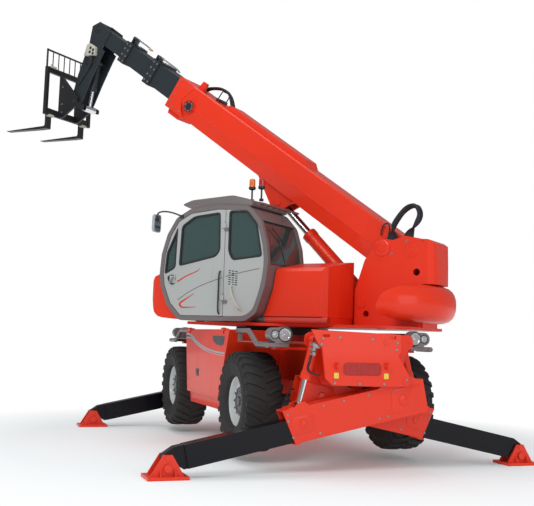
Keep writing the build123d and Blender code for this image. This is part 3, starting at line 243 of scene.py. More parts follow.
def lens(name, tint, alpha=0.85, glow=0.0):
    """Moulded lamp lens with fine ribs."""
    tree, shader = blank(name)
    ribs = math_node(tree, "MULTIPLY", noise(tree, 60.0, 1.0), 0.5)
    feed(shader, {"Base Color": mix_colour(tree, ribs, tint, tuple(0.6 * c for c in tint[:3]) + (1.0,)),
                  "Alpha": alpha, "Roughness": 0.12, "Coat Weight": 1.0})
    if glow:
        feed(shader, {"Emission Color": tint, "Emission Strength": glow})


class TELEHANDLER_OT_finishes(bpy.types.Operator):
    """Build every paint, rubber, glass and metal, and dress the machine's own pieces with them"""
    bl_idname = "telehandler.finishes"
    bl_label = "Finishes"

    def execute(self, context):
        c = context.scene.telehandler_colours
        build_edge_group()
        build_dust_group()
        build_drift_group()
        coated("body_paint", tuple(c.body), roughness=0.36, coat=0.22, dust=0.03, drift=0.06, specular=0.22)
        coated("boom_paint", tuple(c.boom), roughness=0.42, coat=0.1, wear=0.3, dust=0.0, specular=0.3)
        coated("frame_paint", tuple(c.frame), roughness=0.42, coat=0.25, dust=0.08)
        coated("door_paint", tuple(c.door), roughness=0.3, coat=0.6, dust=0.05)
        coated("rim_paint", tuple(c.rim), roughness=0.38, coat=0.3, dust=0.35)
        coated("leg_paint", tuple(c.leg), roughness=0.3, coat=0.05, wear=0.15, dust=0.0, specular=0.25,
               worn=(0.1, 0.1, 0.11, 1.0))
        coated("cast_iron", (0.035, 0.035, 0.038, 1.0), roughness=0.6, coat=0.0, dust=0.5, peel=60.0, bump=0.3)
        coated("black_steel", (0.012, 0.012, 0.014, 1.0), roughness=0.45, coat=0.1, wear=0.5, dust=0.1)
        coated("bolt_steel", (0.3, 0.3, 0.31, 1.0), roughness=0.4, coat=0.0, metal=0.9, dust=0.1)
        coated("hub_black", (0.012, 0.016, 0.024, 1.0), roughness=0.35, coat=0.3, dust=0.12)
        coated("guard_brown", (0.16, 0.075, 0.07, 1.0), roughness=0.5, coat=0.1, dust=0.0)
        coated("stripe_dark", (0.17, 0.13, 0.12, 1.0), roughness=0.4, coat=0.4, dust=0.0)
        coated("stripe_red", (0.62, 0.02, 0.015, 1.0), roughness=0.4, coat=0.4, dust=0.0)
        coated("mirror_shell", (0.36, 0.42, 0.46, 1.0), roughness=0.35, coat=0.4, dust=0.0)
        coated("beige_steel", (0.5, 0.48, 0.4, 1.0), roughness=0.5, coat=0.1, dust=0.0)
        coated("brass", (0.55, 0.45, 0.22, 1.0), roughness=0.35, coat=0.0, metal=0.8, dust=0.0)
        rubber("hose_rubber", (0.013, 0.015, 0.02, 1.0), roughness=0.5, dust=0.0, grain=260.0, strength=0.1)
        rubber("seat_cloth", (0.035, 0.045, 0.05, 1.0), roughness=0.85, dust=0.0, grain=320.0, strength=0.4)
        rubber("tyre_rubber", tuple(c.tyre), dust=0.12)
        rubber("soft_trim", (0.015, 0.016, 0.018, 1.0), roughness=0.6, dust=0.0, grain=220.0)
        chromed("chrome")
        tinted("cab_glass", tuple(c.glass), 0.8)
        tinted("mirror_glass", (0.55, 0.63, 0.68, 1.0), 1.0, 0.9)
        lens("lamp_lens", (0.82, 0.85, 0.86, 1.0), 0.55)
        lens("clear_lens", (0.8, 0.84, 0.86, 1.0), 0.25)
        lens("amber_lens", tuple(c.beacon), 0.9, 0.05)
        lens("red_lens", (0.55, 0.01, 0.01, 1.0), 0.95)
        lens("yellow_tape", (0.85, 0.62, 0.03, 1.0), 1.0)
        for body_node, finish in NODE_FINISH.items():
            for name in ([f"{corner}_{body_node[1:]}" for corner in CORNERS] if body_node[0] == "*" else [body_node]):
                dress(name, finish)
        return {"FINISHED"}


# piece of the machine: its finish ("*" stands for each of the four corners)
NODE_FINISH = {
    "*rim": "rim_paint", "*tyre": "tyre_rubber", "*knuckle": "cast_iron", "*arm": "body_paint",
    "*leg": "leg_paint", "*foot": "body_paint", "*jack_barrel": "body_paint", "*jack_rod": "chrome",
    "chassis_frame": "body_paint", "slew_ring": "cast_iron", "front_axle": "cast_iron",
    "rear_axle": "cast_iron", "engine_block": "cast_iron", "engine_housing": "body_paint",
    "engine_cover": "body_paint", "tank_box": "body_paint", "lamp_rails": "frame_paint",
    "headlamps": "lamp_lens", "turret_frame": "body_paint", "counterweight": "body_paint",
    "turret_hood": "body_paint", "cab_frame": "frame_paint", "cab_glass": "cab_glass",
    "cab_interior": "soft_trim", "roof_fittings": "frame_paint", "cab_door": "door_paint",
    "door_glass": "cab_glass", "boom_outer": "body_paint", "boom_second": "boom_paint",
    "boom_third": "boom_paint", "boom_tip": "boom_paint", "fork_carriage": "black_steel",
    "lift_barrel": "body_paint", "lift_rod": "chrome", "tilt_barrel": "boom_paint", "tilt_rod": "chrome",
}


def dress(name, finish):
    mesh = nodes[name].data
    if not mesh.materials:
        mesh.materials.append(MATERIALS[finish])
    for index in range(len(mesh.materials)):
        mesh.materials[index] = MATERIALS[finish]


def piece(name, bm, finish, body, smooth=35.0):
    """Turns a bmesh into a finished piece that rides on one body."""
    bmesh.ops.recalc_face_normals(bm, faces=bm.faces)
    mesh = bpy.data.meshes.new(name)
    bm.to_mesh(mesh)
    bm.free()
    mesh.materials.append(MATERIALS[finish])
    mesh.polygons.foreach_set("use_smooth", [True] * len(mesh.polygons))
    mesh.set_sharp_from_angle(angle=radians(smooth))
    return settle(name, mesh, body)


def settle(name, mesh, body):
    """An object at the origin that rides on one body."""
    obj = bpy.data.objects.new(name, mesh)
    bpy.context.scene.collection.objects.link(obj)
    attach(obj, body)
    return obj


# frames turned about Z to face one side of the machine or the other
HALF_TURN = {1: 0.0, -1: pi}


def at(base, place, angle=0.0, axis="Z"):
    """A frame moved to a place in another one, then turned."""
    moved = base @ Matrix.Translation(place)
    return moved @ Matrix.Rotation(angle, 4, axis) if angle else moved


def box_of(node):
    """Lowest and highest corner of a node of the machine, and its middle."""
    low, high = (Vector(corner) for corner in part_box(node))
    return low, high, (low + high) / 2


def hub_frame(corner):
    """Middle of a wheel, with local Y pointing outwards."""
    return at(Matrix(), box_of(f"{corner}_tyre")[2], HALF_TURN[-1 if corner.endswith("right") else 1])


def add_block(bm, low, high, matrix=Matrix(), bevel=0.0):
    """A box between two corners with eased edges."""
    part = bmesh.new()
    size = Vector(high) - Vector(low)
    bmesh.ops.create_cube(part, size=1.0)
    bmesh.ops.scale(part, vec=size, verts=part.verts)
    bmesh.ops.translate(part, vec=(Vector(low) + Vector(high)) / 2, verts=part.verts)
    if bevel:
        bmesh.ops.bevel(part, geom=part.edges, offset=bevel, segments=2, affect="EDGES", profile=0.5)
    join(bm, part, matrix)


def join(bm, part, matrix=Matrix()):
    bmesh.ops.transform(part, matrix=matrix, verts=part.verts)
    mesh = bpy.data.meshes.new("part")
    part.to_mesh(mesh)
    part.free()
    bm.from_mesh(mesh)
    bpy.data.meshes.remove(mesh)


def add_lathe(bm, profile, steps, matrix=Matrix()):
    """Turns (radius, along) points about the local Y axis."""
    part = bmesh.new()
    loops = []
    for index in range(steps):
        angle = 2 * pi * index / steps
        loops.append([part.verts.new((r * cos(angle), y, r * sin(angle))) for r, y in profile])
    for index in range(steps):
        a, b = loops[index], loops[(index + 1) % steps]
        for k in range(len(profile) - 1):
            part.faces.new((a[k], a[k + 1], b[k + 1], b[k]))
    bmesh.ops.remove_doubles(part, verts=part.verts, dist=1e-6)
    join(bm, part, matrix)


def add_tube(bm, points, radius, steps=10, matrix=Matrix()):
    """A bent tube along a smooth path."""
    curve = bpy.data.curves.new("path", "CURVE")
    curve.dimensions = "3D"
    spline = curve.splines.new("NURBS")
    spline.points.add(len(points) - 1)
    for control, place in zip(spline.points, points):
        control.co = (*(matrix @ Vector(place)), 1.0)
    spline.order_u = 3
    spline.use_endpoint_u = True
    curve.resolution_u = 6
    curve.bevel_depth = radius
    curve.bevel_resolution = max(1, steps // 4)
    curve.use_fill_caps = True
    holder = bpy.data.objects.new("path", curve)
    mesh = bpy.data.meshes.new_from_object(holder)
    bpy.data.objects.remove(holder)
    bpy.data.curves.remove(curve)
    bm.from_mesh(mesh)
    bpy.data.meshes.remove(mesh)


def rounded(points, radius, steps=4):
    """A closed outline with its corners turned into arcs."""
    out = []
    count = len(points)
    for index, corner in enumerate(points):
        corner = Vector(corner)
        before, after = Vector(points[index - 1]) - corner, Vector(points[(index + 1) % count]) - corner
        reach = min(radius, 0.48 * before.length, 0.48 * after.length)
        start, end = corner + before.normalized() * reach, corner + after.normalized() * reach
        for step in range(steps + 1):
            t = step / steps
            out.append((1 - t) ** 2 * start + 2 * t * (1 - t) * corner + t ** 2 * end)
    return [tuple(p) for p in out]


def rectangle(x, z, half_x, half_z):
    return [(x - half_x, z - half_z), (x + half_x, z - half_z), (x + half_x, z + half_z), (x - half_x, z + half_z)]


def inset(points, amount):
    """A closed outline drawn in towards its middle, edge by edge."""
    middle = sum((Vector(p) for p in points), Vector((0, 0))) / len(points)
    lines = []
    for a, b in zip(points, [*points[1:], points[0]]):
        way = (Vector(b) - Vector(a)).normalized()
        inward = Vector((-way.y, way.x))
        if inward.dot(middle - Vector(a)) < 0:
            inward = -inward
        lines.append((Vector(a) + inward * amount, way))
    out = []
    for (p, u), (q, v) in zip([lines[-1], *lines[:-1]], lines):
        cross = u.x * v.y - u.y * v.x
        t = ((q - p).x * v.y - (q - p).y * v.x) / cross
        out.append(tuple(p + u * t))
    return out


def clipped(points, limit):
    """The part of an outline whose first coordinate is below a limit."""
    out = []
    for a, b in zip([points[-1], *points[:-1]], points):
        da, db = limit - a[0], limit - b[0]
        if da * db < 0:
            t = da / (da - db)
            out.append((limit, a[1] + t * (b[1] - a[1])))
        if db >= 0:
            out.append(b)
    return out


def plate(bm, outline, low, high, matrix=Matrix(), holes=(), ease=0.0):
    """A flat plate: an outline in local X and Z, from Y low to Y high, with holes through it."""
    loops = [[(x, y) for x, y in loop] for loop in (outline, *holes)]
    part = bmesh.new()
    sides = []
    for y in (low, high):
        sides.append([[part.verts.new((px, y, pz)) for px, pz in loop] for loop in loops])
    flat = [[Vector((x, z, 0)) for x, z in loop] for loop in loops]
    for side in sides:
        every = [vert for loop in side for vert in loop]
        for triangle in tessellate_polygon(flat):
            try:
                part.faces.new([every[k] for k in triangle])
            except ValueError:
                continue
    for near, far in zip(*sides):
        for k in range(len(near)):
            part.faces.new((near[k - 1], near[k], far[k], far[k - 1]))
    bmesh.ops.recalc_face_normals(part, faces=part.faces)
    if ease:
        rim = [e for e in part.edges if len(e.link_faces) == 2 and e.calc_face_angle(0.0) > 1.0]
        bmesh.ops.bevel(part, geom=rim, offset=ease, segments=2, affect="EDGES", profile=0.5, clamp_overlap=True)
    join(bm, part, matrix)


def stripe(bm, path, widths, at, lift, matrix=Matrix()):
    """A thin painted line along a path in local X and Z, standing off the plane Y = at."""
    part = bmesh.new()
    path = [Vector(p) for p in path]
    rows = []
    for index, point in enumerate(path):
        ahead = path[min(index + 1, len(path) - 1)] - path[max(index - 1, 0)]
        side = Vector((-ahead.y, ahead.x)).normalized() * widths[index] / 2
        rows.append([part.verts.new((q.x, y, q.y)) for y in (at, at + lift) for q in (point - side, point + side)])
    for a, b in zip(rows, rows[1:]):
        for k, m in ((0, 1), (1, 3), (3, 2), (2, 0)):
            part.faces.new((a[k], a[m], b[m], b[k]))
    for row in (rows[0], rows[-1]):
        part.faces.new((row[0], row[1], row[3], row[2]))
    bmesh.ops.recalc_face_normals(part, faces=part.faces)
    join(bm, part, matrix)


def smooth_path(points, steps=6):
    """Points of a smooth curve through a few given ones."""
    points = [Vector(p) for p in points]
    padded = [2 * points[0] - points[1], *points, 2 * points[-1] - points[-2]]
    out = []
    for a, b, c, d in zip(padded, padded[1:], padded[2:], padded[3:]):
        for step in range(steps):
            t = step / steps
            out.append(0.5 * (2 * b + (c - a) * t + (2 * a - 5 * b + 4 * c - d) * t ** 2
                              + (3 * b - a - 3 * c + d) * t ** 3))
    return out + [points[-1]]


def fastener_group():
    """Hexagonal bolts with washers, one on every point, turned to the point's own direction."""
    group, given, out = new_group(
        "Fastener Rows",
        (("Points", "Geometry", None), ("Head Radius", "Float", 0.012), ("Head Height", "Float", 0.010),
         ("Washer Radius", "Float", 0.017), ("Finish", "Material", None), ("Seed", "Int", 7)),
        (("Fasteners", "Geometry"),), "Geometry")
    head = add_node(group, "GeometryNodeMeshCylinder", {"Vertices": 6, "Radius": given["Head Radius"],
                                                        "Depth": given["Head Height"]})
    washer = add_node(group, "GeometryNodeMeshCylinder", {"Vertices": 14, "Radius": given["Washer Radius"],
                                                          "Depth": 0.006})
    half = add_node(group, "ShaderNodeMath", {0: given["Head Height"], 1: 0.5}, operation="MULTIPLY")
    offset = add_node(group, "ShaderNodeCombineXYZ", {"Z": half.outputs[0]})
    lift = add_node(group, "GeometryNodeTransform", {"Geometry": head.outputs["Mesh"],
                                                     "Translation": offset.outputs[0]})
    both = add_node(group, "GeometryNodeJoinGeometry", {0: lift.outputs[0]})
    feed(both, {0: washer.outputs["Mesh"]})
    facing = add_node(group, "GeometryNodeInputNamedAttribute", {"Name": "facing"}, data_type="FLOAT_VECTOR")
    turn = add_node(group, "FunctionNodeAlignRotationToVector", {"Vector": facing.outputs["Attribute"]}, axis="Z")
    sixth_turn = 1.0472
    spin = add_node(group, "FunctionNodeRandomValue", {3: sixth_turn, "Seed": given["Seed"]}, data_type="FLOAT")
    angle = add_node(group, "ShaderNodeCombineXYZ", {"Z": spin.outputs[1]})
    place = add_node(group, "GeometryNodeInstanceOnPoints", {
        "Points": given["Points"], "Instance": both.outputs[0], "Rotation": turn.outputs[0]})
    local = add_node(group, "GeometryNodeRotateInstances", {"Instances": place.outputs[0],
                                                            "Rotation": angle.outputs[0]})
    real = add_node(group, "GeometryNodeRealizeInstances", {0: local.outputs[0]})
    paint = add_node(group, "GeometryNodeSetMaterial", {"Geometry": real.outputs[0], "Material": given["Finish"]})
    feed(out, {0: paint.outputs[0]})


def bolt(base, point, way):
    """A bolt's point and direction, given in a frame of their own."""
    return base @ Vector(point), base.to_3x3() @ Vector(way)


def fasten(name, places, body, radius=0.012, height=0.01):
    """Bolts at (point, direction) pairs, grown by the fastener group and baked into one piece."""
    if "Fastener Rows" not in GROUPS:
        fastener_group()
    mesh = bpy.data.meshes.new(name + "_points")
    mesh.from_pydata([tuple(p) for p, _ in places], [], [])
    layer = mesh.attributes.new("facing", "FLOAT_VECTOR", "POINT")
    for item, (_, way) in zip(layer.data, places):
        item.vector = Vector(way).normalized()
    carrier = bpy.data.objects.new(name + "_points", mesh)
    bpy.context.scene.collection.objects.link(carrier)
    grow = carrier.modifiers.new("Fastener Rows", "NODES")
    grow.node_group = GROUPS["Fastener Rows"]
    chosen = {"Head Radius": radius, "Head Height": height, "Washer Radius": radius * 1.45,
              "Finish": MATERIALS["bolt_steel"], "Seed": 7}
    for item in grow.node_group.interface.items_tree:
        if item.name in chosen:
            grow[item.identifier] = chosen[item.name]
    bpy.context.view_layer.update()
    ready = carrier.evaluated_get(bpy.context.evaluated_depsgraph_get())
    baked = bpy.data.meshes.new_from_object(ready)
    carrier.modifiers.remove(grow)
    bpy.data.objects.remove(carrier)
    baked.name = name
    return settle(name, baked, body)


# ---- tyres -----------------------------------------------------------------------------
class TELEHANDLER_OT_tyres(bpy.types.Operator):
    """Build the four ribbed tyres with their blocks of tread"""
    bl_idname = "telehandler.tyres"
    bl_label = "Tyres"

    def execute(self, context):
        sizes = context.scene.telehandler_sizes
        for corner in CORNERS:
            low, high, _ = box_of(f"{corner}_tyre")
            radius, half = (high.z - low.z) / 2, (high.y - low.y) / 2
            bm = bmesh.new()
            place = hub_frame(corner)
            self.carcass(bm, radius - sizes.lug_height, half, place)
            self.lugs(bm, radius, half, sizes, place)
            tyre = piece(f"{corner}_treaded_tyre", bm, "tyre_rubber", f"{corner}_wheel", 40)
            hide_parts(f"{corner}_tyre")
        return {"FINISHED"}

    def carcass(self, bm, crown, half, place):
        bead = 0.283
        side = [
            (bead, half * 0.62), (bead + 0.012, half * 0.8), (bead + 0.035, half * 0.9),
            (bead + 0.04, half * 0.9), (bead + 0.045, half * 0.915), (bead + 0.105, half * 0.975),
            (bead + 0.155, half * 0.985), (bead + 0.16, half * 0.998), (bead + 0.17, half * 0.998),
            (bead + 0.175, half * 0.985), (crown - 0.055, half * 0.95), (crown - 0.02, half * 0.9),
            (crown, half * 0.78),
        ]
        profile = side + [(crown + 0.004, 0.0)] + [(r, -y) for r, y in reversed(side)]
        profile.append((side[0][0], side[0][1]))
        add_lathe(bm, profile, 96, place)

    def lugs(self, bm, radius, half, sizes, place):
        """Angled tread lugs, wide at the shoulder and narrowing to the middle."""
        count = sizes.lug_pitch
        base = radius - sizes.lug_height - 0.006
        # share of half width, offset along the tread, half length along the tread
        rows = ((0.06, 0.085, 0.015), (0.42, 0.04, 0.021), (0.8, 0.0, 0.028), (0.975, -0.01, 0.03))
        for side in (1, -1):
            for index in range(count):
                turn = 2 * pi * (index + (0.5 if side < 0 else 0.0)) / count
                part = bmesh.new()
                rings = []
                for share, shift, reach in rows:
                    y = side * half * share
                    top = radius - (0.0 if share < 0.7 else 0.006 if share < 0.9 else 0.03)
                    foot = base - (0.0 if share < 0.7 else 0.02 if share < 0.9 else 0.075)
                    ring = []
                    for along, level in ((-reach - 0.006, foot), (-reach, top), (reach, top), (reach + 0.006, foot)):
                        angle = turn + (along + shift) / radius
                        ring.append(part.verts.new((level * cos(angle), y, level * sin(angle))))
                    rings.append(ring)
                for a, b in zip(rings, rings[1:]):
                    for k in range(4):
                        part.faces.new((a[k], a[(k + 1) % 4], b[(k + 1) % 4], b[k]))
                part.faces.new(rings[0])
                part.faces.new(rings[-1][::-1])
                bmesh.ops.recalc_face_normals(part, faces=part.faces)
                join(bm, part, place)


# ---- wheels ----------------------------------------------------------------------------
class TELEHANDLER_OT_wheels(bpy.types.Operator):
    """Build the dished rims, the dark hubs and their nuts"""
    bl_idname = "telehandler.wheels"
    bl_label = "Wheels"

    def execute(self, context):
        sizes = context.scene.telehandler_sizes
        for corner in CORNERS:
            low, high, _ = box_of(f"{corner}_rim")
            place = hub_frame(corner)
            bm = bmesh.new()
            self.dish(bm, (high.z - low.z) / 2, place)
            rim = piece(f"{corner}_dished_rim", bm, "rim_paint", f"{corner}_wheel", 30)
            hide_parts(f"{corner}_rim")
            bm = bmesh.new()
            add_lathe(bm, [(0.0, 0.149), (0.05, 0.148), (0.058, 0.14), (0.06, 0.134), (0.112, 0.133),
                           (0.116, 0.129), (0.16, 0.128), (0.171, 0.121), (0.173, 0.098), (0.0, 0.098)], 40, place)
            piece(f"{corner}_hub", bm, "hub_black", f"{corner}_wheel", smooth=30)
            turns = [2 * pi * index / sizes.nut_count for index in range(sizes.nut_count)]
            nuts = [bolt(place, (sizes.nut_circle * cos(turn), 0.13, sizes.nut_circle * sin(turn)), (0, 1, 0))
                    for turn in turns]
            fasten(f"{corner}_nuts", nuts, f"{corner}_wheel", radius=0.013, height=0.022)
        return {"FINISHED"}

    def dish(self, bm, r, place):
        outer = 0.18
        profile = [
            (0.168, 0.116), (0.205, 0.112), (0.236, 0.098), (0.252, 0.085), (0.262, 0.088), (0.27, 0.11),
            (0.276, 0.15), (0.284, 0.163), (r - 0.014, 0.17), (r - 0.006, outer + 0.002), (r - 0.002, outer + 0.004),
            (r, outer), (r - 0.003, outer - 0.01), (r - 0.012, outer - 0.014), (r - 0.02, 0.15), (r - 0.027, 0.06),
            (r - 0.027, -0.06), (r - 0.018, -0.15), (r - 0.01, -outer), (r, -outer), (r, -outer - 0.006),
            (r - 0.02, -outer - 0.004), (0.276, -0.15), (0.262, 0.06), (0.246, 0.07), (0.168, 0.095), (0.168, 0.116),
        ]
        add_lathe(bm, profile, 72, place)


# ---- cab -------------------------------------------------------------------------------
class TELEHANDLER_OT_cab(bpy.types.Operator):
    """Build the cab's trim, roof, beacons, mirror and seat"""
    bl_idname = "telehandler.cab"
    bl_label = "Cab"

    door_face = 1.228  # outer faces, to the left of the turret's middle
    panel_face = 1.2278
    paint_sink = 0.0005  # how far painted lines reach into a face, and how thick they are in all
    paint_depth = 0.0022
    side = [(0.906, 1.65), (1.113, 1.844), (1.23, 2.1), (1.257, 2.285), (1.235, 2.55), (1.147, 2.822),
            (1.000, 3.04), (0.771, 3.153), (0.3, 3.19), (-0.174, 3.147), (-0.358, 2.943), (-0.45, 2.65),
            (-0.481, 2.407), (-0.44, 2.1), (-0.317, 1.751), (-0.147, 1.65)]
    rear_pane = [(0.13, 3.09), (-0.14, 3.075), (-0.29, 2.9), (-0.375, 2.49), (0.065, 2.449), (0.13, 2.56)]

    def execute(self, context):
        self.panel()
        self.lines()
        self.vents()
        self.handles()
        self.gaskets()
        self.roof()
        self.beacons()
        self.mirror()
        self.seat()
        self.wiper()
        return {"FINISHED"}

    def panel(self):
        """Light skin of the panel behind the door, around its window."""
        bm = bmesh.new()
        skin = clipped(rounded(inset(self.side, 0.064), 0.16, 8), 0.192)
        plate(bm, skin, 1.2235, self.panel_face, TURRET, [rounded(self.rear_pane, 0.04)])
        piece("side_panel_skin", bm, "door_paint", "turret")

    def lines(self):
        """Thin painted lines that sweep back over the door and the side panel."""
        for name, body, face, way in (
            ("door_line", "cab_door", self.door_face, [(0.933, 1.923), (0.738, 2.035), (0.5, 2.133), (0.215, 2.218)]),
            ("panel_line", "turret", self.panel_face, [(0.17, 2.229), (-0.035, 2.273), (-0.357, 2.328)]),
        ):
            bm = bmesh.new()
            path = smooth_path(way)
            stripe(bm, path, [0.009] * len(path), face - self.paint_sink, self.paint_depth, TURRET)
            piece(name, bm, "stripe_dark", body)
        bm = bmesh.new()
        path = smooth_path([(0.954, 2.167), (0.81, 2.241), (0.63, 2.307), (0.586, 2.343)])
        widths = [0.02 - 0.014 * k / len(path) for k in range(len(path))]
        stripe(bm, path, widths, self.door_face - self.paint_sink, self.paint_depth, TURRET)
        hook = [(0.661, 2.008), (0.81, 1.928), (0.893, 1.877), (0.885, 1.846), (0.834, 1.822), (0.63, 1.828)]
        path = smooth_path(hook)
        stripe(bm, path, [0.006 + 0.022 * sin(pi * k / (len(path) - 1)) for k in range(len(path))],
               self.door_face - self.paint_sink, self.paint_depth, TURRET)
        piece("door_flash", bm, "stripe_red", "cab_door")

    def vents(self):
        """Columns of small louvres in the panel behind the door."""
        bm = bmesh.new()
        for column in range(3):
            for row in range(7):
                x, z = 0.104 - 0.052 * column, 2.305 - 0.029 * row - 0.006 * column
                plate(bm, rounded(rectangle(x, z, 0.019, 0.006), 0.005, 3), self.panel_face - 0.001,
                      self.panel_face + 0.0015, TURRET)
        piece("panel_louvres", bm, "hub_black", "turret")

    def handles(self):
        bm = bmesh.new()
        cup = rounded([(1.125, 2.236), (1.031, 2.272), (0.978, 2.222), (0.994, 2.146), (1.038, 2.122), (1.083, 2.151)],
                      0.03)
        plate(bm, cup, self.door_face - 0.001, self.door_face + 0.012, TURRET, ease=0.004)
        piece("door_latch_cup", bm, "hub_black", "cab_door")
        bm = bmesh.new()
        add_tube(bm, [(1.01, self.door_face + 0.01, 2.232), (1.014, self.door_face + 0.034, 2.22),
                      (1.03, self.door_face + 0.036, 2.18), (1.044, self.door_face + 0.034, 2.16),
                      (1.05, self.door_face + 0.01, 2.15)], 0.009, 8, TURRET)
        piece("door_latch_lever", bm, "bolt_steel", "cab_door")
        bm = bmesh.new()
        y = self.panel_face
        add_tube(bm, [(0.072, y - 0.004, 2.106), (0.066, y + 0.04, 2.095), (0.031, y + 0.046, 1.986),
                      (-0.023, y + 0.046, 1.878), (-0.084, y + 0.04, 1.81), (-0.091, y - 0.004, 1.801)],
                 0.013, 10, TURRET)
        for x, z in ((0.072, 2.106), (-0.091, 1.801)):
            add_lathe(bm, [(0.0, 0.006), (0.024, 0.006), (0.026, 0.0), (0.026, -0.004), (0.0, -0.004)], 20,
                      at(TURRET, (x, y, z)))
        piece("step_grab_handle", bm, "beige_steel", "turret")
        bm = bmesh.new()
        y = self.door_face
        add_tube(bm, [(0.252, y - 0.004, 2.3), (0.25, y + 0.036, 2.29), (0.247, y + 0.04, 2.1), (0.247, y + 0.04, 1.9),
                      (0.25, y + 0.036, 1.75), (0.252, y - 0.004, 1.74)], 0.011, 10, TURRET)
        piece("door_grab_rail", bm, "black_steel", "cab_door")

    def gaskets(self):
        """Rubber seals with rounded corners around every pane in the side."""
        windows = (
            ("door_pane_seal", "cab_door", self.door_face,
             [(0.9, 2.92), (0.7, 3.04), (0.29, 3.075), (0.275, 2.575), (0.34, 2.501), (0.925, 2.39)]),
            ("quarter_pane_seal", "cab_door", self.door_face,
             [(0.985, 2.87), (1.14, 2.56), (1.165, 2.284), (1.003, 2.36)]),
            ("side_pane_seal", "turret", self.panel_face, self.rear_pane),
        )
        for name, body, face, outline in windows:
            bm = bmesh.new()
            outer = rounded(inset(outline, -0.012), 0.05)
            inner = rounded(inset(outline, 0.012), 0.035)
            plate(bm, outer, face - 0.02, face + 0.004, TURRET, [inner], 0.0015)
            piece(name, bm, "soft_trim", body)

    def roof(self):
        """Roof cap with a rounded rim, and the guard bars behind it."""
        side = [(0.771, 3.153), (0.836, 3.18), (0.933, 3.222), (0.763, 3.276), (0.102, 3.305), (-0.16, 3.238),
                (-0.206, 3.17), (-0.174, 3.147), (0.3, 3.19)]
        bm = bmesh.new()
        plate(bm, rounded(side, 0.05, 5), 0.301, 1.213, TURRET, ease=0.018)
        for y in (0.45, 0.61, 0.77, 0.93, 1.09):
            top = [(0.7, 3.27), (0.1, 3.298), (0.1, 3.304), (0.42, 3.3), (0.7, 3.28)]
            plate(bm, [(x, z + 0.004) for x, z in top], y - 0.02, y + 0.02, TURRET, ease=0.001)
        cap = piece("roof_cap", bm, "frame_paint", "turret", smooth=40)
        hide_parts("roof_fittings")
        bm = bmesh.new()
        for index in range(6):
            y = 0.361 + 0.1584 * index
            add_tube(bm, [(-0.15, y, 3.206), (-0.3, y, 3.19), (-0.388, y, 3.163), (-0.404, y, 3.15)], 0.013, 8,
                     TURRET)
        for x, z in ((-0.4, 3.156), (-0.285, 3.187)):
            add_tube(bm, [(x, 0.341, z), (x, 0.757, z), (x, 1.173, z)], 0.014, 8, TURRET)
        piece("roof_guard_bars", bm, "guard_brown", "turret")

    def beacons(self):
        for name, x, finish in (("amber_beacon", 0.040, "amber_lens"), ("red_beacon", -0.110, "red_lens")):
            place = at(TURRET, (x, 0.85, 0), pi / 2, "X")
            bm = bmesh.new()
            add_lathe(bm, [(0.0, 3.27), (0.03, 3.27), (0.03, 3.3), (0.012, 3.306), (0.012, 3.425), (0.036, 3.432),
                           (0.047, 3.44), (0.048, 3.466), (0.043, 3.472), (0.0, 3.472)], 28, place)
            piece(name + "_base", bm, "hub_black", "turret")
            bm = bmesh.new()
            rings = [(0.0, 3.47), (0.041, 3.471)]
            for k in range(8):
                rings += [(0.041, 3.476 + 0.011 * k), (0.0395, 3.482 + 0.011 * k)]
            rings += [(0.036, 3.571), (0.026, 3.58), (0.0, 3.583)]
            add_lathe(bm, rings, 28, place)
            piece(name + "_lens", bm, finish, "turret", 60)

    def mirror(self):
        """Mirror on its bent arm in front of the door pillar."""
        bm = bmesh.new()
        add_tube(bm, [(0.904, 1.236, 3.055), (0.96, 1.262, 3.08), (1.02, 1.3, 3.104), (1.1, 1.33, 3.12),
                      (1.178, 1.334, 3.124), (1.245, 1.332, 3.112), (1.262, 1.332, 3.08), (1.262, 1.332, 2.96)],
                 0.011, 10, TURRET)
        add_block(bm, (0.88, 1.226, 3.03), (0.94, 1.24, 3.08), TURRET, 0.003)
        add_lathe(bm, [(0.0, 0.018), (0.02, 0.018), (0.022, 0.012), (0.022, -0.012), (0.02, -0.018), (0.0, -0.018)],
                  18, at(TURRET, (1.262, 1.332, 3.02)))
        piece("mirror_arm", bm, "hub_black", "turret")
        turn = at(TURRET, (1.262, 1.33, 2.965), radians(96))
        shape = [(-0.088, -0.125), (0.088, -0.118), (0.08, 0.12), (-0.094, 0.127)]
        bm = bmesh.new()
        plate(bm, rounded(shape, 0.05, 6), -0.03, 0.006, turn, ease=0.012)
        piece("mirror_case", bm, "mirror_shell", "turret", smooth=50)
        bm = bmesh.new()
        plate(bm, rounded(inset(shape, 0.014), 0.035), 0.004, 0.0085, turn)
        piece("mirror_face", bm, "mirror_glass", "turret")

